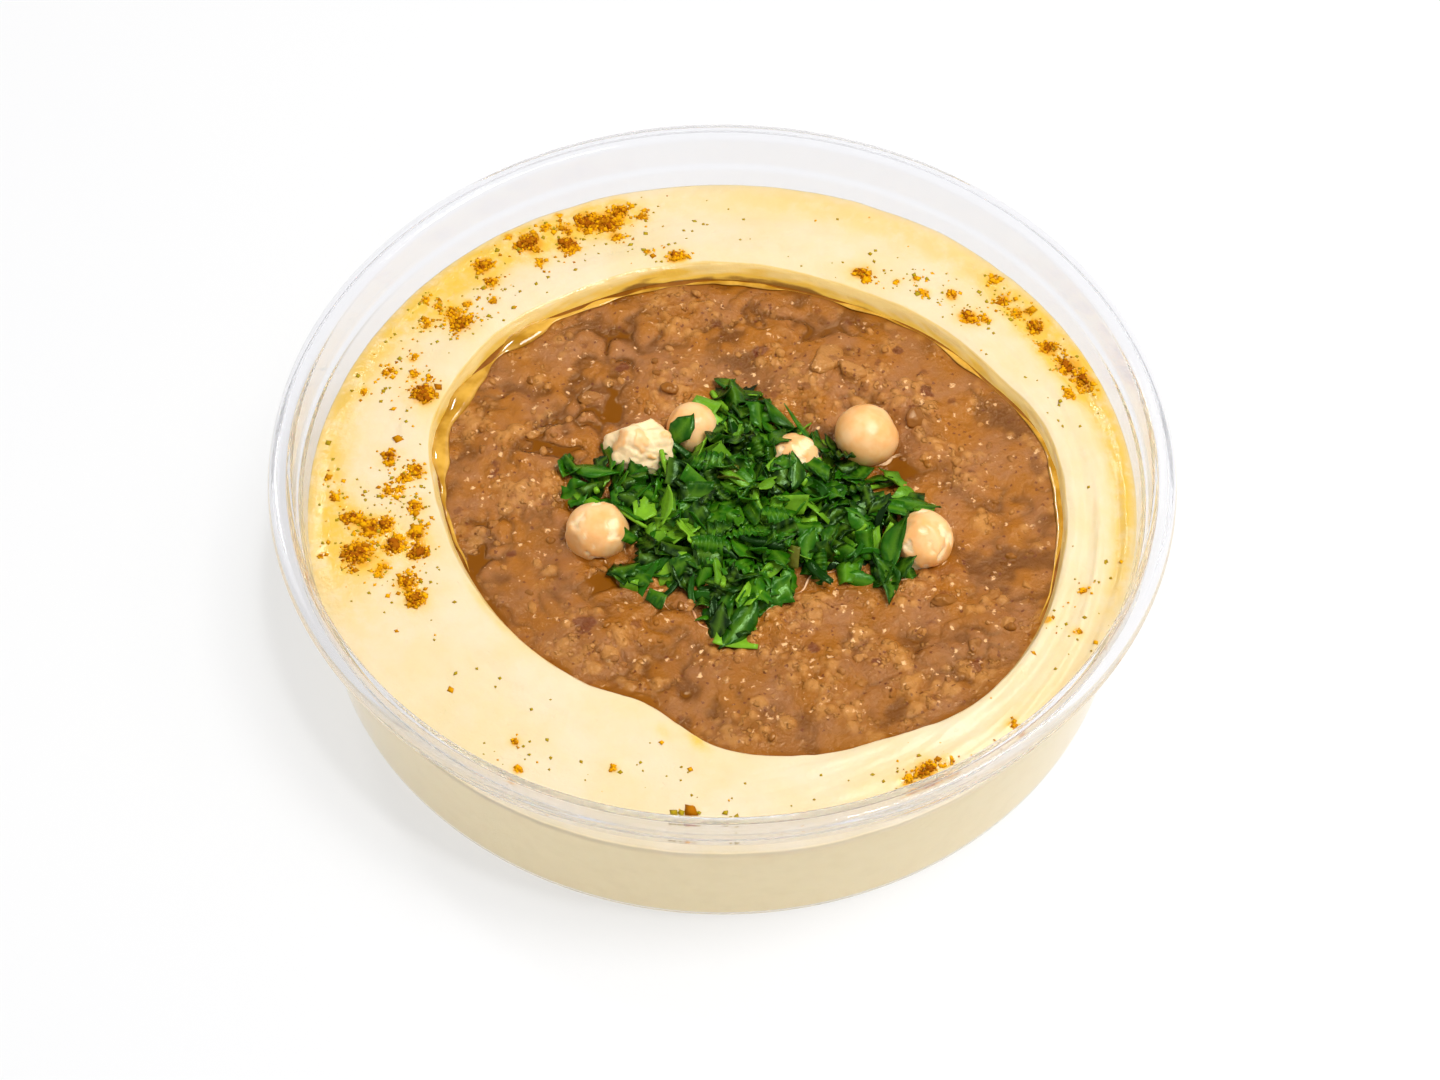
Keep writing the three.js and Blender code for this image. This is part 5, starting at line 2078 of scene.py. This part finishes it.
@dataclass
class BeanPieces:
    """Pieces of bean that stand out of the mash, the larger ones listed one by one."""

    finish: MashFinish
    ful: Ful
    named: tuple[BeanPiece, ...] = each(
        BeanPiece,
        (Bit.PALE, 16.6, 28.2, 8.4, 6.2, 62), (Bit.PALE, 20.8, 26.2, 6, 4.6, -24),
        (Bit.AMBER, 31.2, 16.8, 4.2, 3.4, 70), (Bit.AMBER, 35.1, -19.1, 4.6, 2.6, 5),
        (Bit.PALE, 14.4, -22.9, 3.4, 2.6, 40), (Bit.PALE, -28.3, 0.4, 1.6, 1.4, 0),
        (Bit.AMBER, 19.5, -17.4, 3.6, 2, 10), (Bit.BROWN, -21.6, 21, 4.6, 3, 30),
        (Bit.AMBER, -8.6, 22.6, 3.6, 2.6, 0), (Bit.PALE, -30.5, 13, 2.6, 1.8, 20),
        (Bit.BROWN, 42.5, -17.9, 3.6, 2.6, 60), (Bit.PALE, 22.5, -9.5, 2.2, 1.4, 20),
    )
    loose: int = 150
    seed: int = 71
    noise_seed: int = 73

    def build(self) -> None:
        """Makes the pieces as small uneven stones, half sunk in the mash."""
        rng = np.random.default_rng(self.seed)
        noise = Noise(self.noise_seed)
        pieces = list(self.named)
        while len(pieces) < len(self.named) + self.loose:
            x, y = rng.uniform(-52, 52, 2)
            angle = np.array(math.atan2(y, x))
            if math.hypot(x, y) > float(self.ful.bed.edge_at(angle).radius) - 3:
                continue
            kind = rng.choice([Bit.PALE, Bit.BROWN, Bit.AMBER], p=[0.5, 0.3, 0.2])
            size = 0.7 + rng.gamma(2.0, 0.3)
            pieces.append(BeanPiece(kind, x, y, size * 1.2, size * 0.85, rng.uniform(0, 360)))
        shapes = [self._stone(piece, noise, number) for number, piece in enumerate(pieces)]
        settle(joined(shapes).to_object("bean_pieces", self.finish.make()), "ful")

    def _stone(self, piece: BeanPiece, noise: Noise, number: int) -> Shape:
        """One piece, on the mash.

        Args:
            piece: Its kind, place and size.
            noise: Source of its form.
            number: Its number, which no other piece has.

        Returns:
            The piece.
        """
        large = piece.length > 2.4
        unit, faces = ball(28 if large else 12, 18 if large else 8)
        rough = 1 + 0.28 * noise.at(unit + 5.0 * number, 0.9, 3)
        if large:
            rough = cut_flat(unit, rough, np.random.default_rng(number), 9, (0.55, 0.9))
        half = np.array([piece.length / 2, piece.width / 2, piece.width * 0.42])
        surface = float(self.ful.surface(np.array([piece.x]), np.array([piece.y]))[0][0])
        place = (piece.x, piece.y, surface - 0.1 * piece.width)
        grain, oil = piece.kind.value
        shape = Shape(unit * rough[:, None] * half, faces)
        shape = shape.moved(spin(math.radians(piece.bearing), 0.15), place)
        looks = {"grain": grain, "oil": oil, "hollow_shade": 0.3, "crowd": 0.4, "skin": 0.0}
        shape.values = {key: np.full(len(unit), value) for key, value in looks.items()}
        return shape


# ---- Studio ----


@dataclass
class Lamp:
    """A soft square lamp, aimed at the bowl: where it hangs and how wide and strong it is."""

    name: str
    place: Point
    width: float
    watts: float


@dataclass
class DimZone:
    """A part of the sky that is dimmer, round a direction, as between the lamps of a studio."""

    towards: Point
    edge: float
    core: float
    share: float


@dataclass
class Studio:
    """The camera, a white floor, three soft lamps above the bowl and a white sky."""

    finish: FloorFinish
    elevation: float = math.radians(53.57)
    distance: float = 630.0
    aim: Point = (-0.29, 0.0, 12.46)
    roll: float = 0.0084
    lens: float = 96.45
    sensor: float = 36.0
    floor_radius: float = 6000.0
    floor_sides: int = 64
    sky: float = 0.66
    bounces: int = 32
    dim_zones: tuple[DimZone, ...] = (
        DimZone((0.0, 0.594, 0.805), 0.7, 0.94, 0.22),
        DimZone((0.0, -0.8, 0.6), 0.78, 0.97, 0.85),
    )
    lamps: tuple[Lamp, ...] = (
        Lamp("key", (450.0, 50.0, 890.0), 350.0, 5.1),
        Lamp("spark", (230.0, -170.0, 750.0), 90.0, 2.6),
        Lamp("window", (-300.0, 480.0, 680.0), 90.0, 1.1),
    )

    def build(self) -> None:
        """Makes the floor, the camera, the lamps and the sky."""
        self._floor()
        self._camera()
        for lamp in self.lamps:
            self._lamp(lamp)
        scene = bpy.context.scene
        scene.world = self._sky()
        scene.view_settings.view_transform = "Standard"
        for limit in ("max_bounces", "transmission_bounces", "glossy_bounces"):
            setattr(scene.cycles, limit, self.bounces)

    def _sky(self) -> World:
        """The sky.

        Returns:
            White surroundings with dimmer zones, which give the wet food its relief.
        """
        world = bpy.data.worlds.new("studio")
        world.use_nodes = True
        graph = Graph(world.node_tree)
        background = world.node_tree.nodes["Background"]
        background.inputs["Color"].default_value = (1.0, 1.0, 1.0, 1.0)
        heading = graph.add("ShaderNodeTexCoord", {}).outputs["Generated"]
        strength: Any = self.sky
        for zone in self.dim_zones:
            facing = graph.add("ShaderNodeVectorMath", {0: heading, 1: zone.towards}, operation="DOT_PRODUCT")
            dim = graph.span(facing.outputs["Value"], zone.edge, zone.core, 1.0, zone.share)
            strength = graph.math("MULTIPLY", strength, dim)
        graph.feed(background.inputs["Strength"], strength)
        return world

    def _floor(self) -> None:
        """Makes a wide round floor just under the foot."""
        angle = np.arange(self.floor_sides) / self.floor_sides * TURN
        rim = np.stack([np.cos(angle), np.sin(angle), np.zeros_like(angle)], axis=1) * self.floor_radius
        shape = Shape(rim - [0, 0, 0.02], [tuple(range(self.floor_sides))])
        shape.to_object("floor", self.finish.make())

    def _camera(self) -> None:
        """The camera where the photograph was taken from."""
        data = bpy.data.cameras.new("camera")
        data.lens = self.lens
        data.sensor_width = self.sensor
        place = Vector((0, -math.cos(self.elevation), math.sin(self.elevation))) * self.distance
        ahead = (Vector(self.aim) - place).to_track_quat("-Z", "Y").to_matrix().to_4x4()
        axes = ahead @ Matrix.Rotation(self.roll, 4, "Z")
        camera = bpy.data.objects.new("camera", data)
        camera.matrix_world = Matrix.Translation(place * MM) @ axes
        bpy.context.scene.collection.objects.link(camera)
        bpy.context.scene.camera = camera

    @staticmethod
    def _lamp(lamp: Lamp) -> None:
        """Hangs one lamp, turned towards the bowl.

        Args:
            lamp: The lamp.
        """
        data = bpy.data.lights.new(lamp.name, "AREA")
        data.energy = lamp.watts
        data.size = lamp.width * MM
        made = bpy.data.objects.new(lamp.name, data)
        made.location = Vector(lamp.place) * MM
        made.rotation_euler = (-Vector(lamp.place)).to_track_quat("-Z", "Y").to_euler()
        bpy.context.scene.collection.objects.link(made)


# ---- The whole ----

PEAS = (
    Chickpea("right", 23.0, 12.0, 5.2, 0.42, 20, 35),
    Chickpea("left", -19.6, -7.4, 5.1, 0.42, 110, 60, broken=0.03),
    Chickpea("upper_left", -13.2, 9.2, 5.1, 0.36, 170, 4, broken=0.13, long=1.2),
    Chickpea("upper_middle", -4.9, 13.6, 4.2, 0.4, 300, 50),
    Chickpea("middle", 11.6, 8.0, 4.3, 0.35, 70, 30, broken=0.03),
    Chickpea("low_right", 31.5, -8.4, 5.0, 0.36, 160, 45, broken=0.04),
)


def main() -> None:
    """Builds the bowl and its surroundings, piece by piece."""
    logging.basicConfig(level=logging.INFO, format="%(message)s")
    Studio(FloorFinish("white_table", roughness=0.6)).build()
    tub = Tub(ClearPlastic("clear_plastic", roughness=0.06, ior=1.16, coat=0.3, coat_roughness=0.05))
    tub.build()
    bed = HummusBed(HummusFinish("hummus", roughness=0.42, subsurface=0.15, subsurface_depth=2.0), tub)
    spice = GroundSpice(SpiceFinish("ground_spice", roughness=0.8, specular=0.1))
    bed.build(spice)
    spice.build(bed)
    wet = {"roughness": 0.13, "ior": 1.5, "specular": 0.6, "glint": (1.0, 0.74, 0.44)}
    mash = MashFinish("ful_mash", **wet)
    ful = Ful(mash, bed)
    ful.build(PEAS)
    BeanPieces(MashFinish("bean_pieces", **wet), ful).build()
    # The beads' pale colours are painted highlights.
    edges = OilFinish("wet_glint_edges", roughness=0.08, deep=(196, 132, 84), bright=(238, 192, 146))
    WetGlintEdges(edges, ful).build()
    OilBead(OilFinish("golden_oil", roughness=0.06, coat=0.5, coat_roughness=0.03), bed).build()
    pea_finish = ChickpeaFinish("chickpea_skin", roughness=0.34, subsurface=0.25, subsurface_depth=1.5)
    skin = pea_finish.make()
    for pea in PEAS:
        pea.build(ful, skin)
    leaf = LeafFinish("parsley_leaf", roughness=0.14, specular=0.36, glint=(0.6, 1.0, 0.45))
    ParsleyHeap(leaf, ful).build(PEAS)


if __name__ == "__main__":
    main()
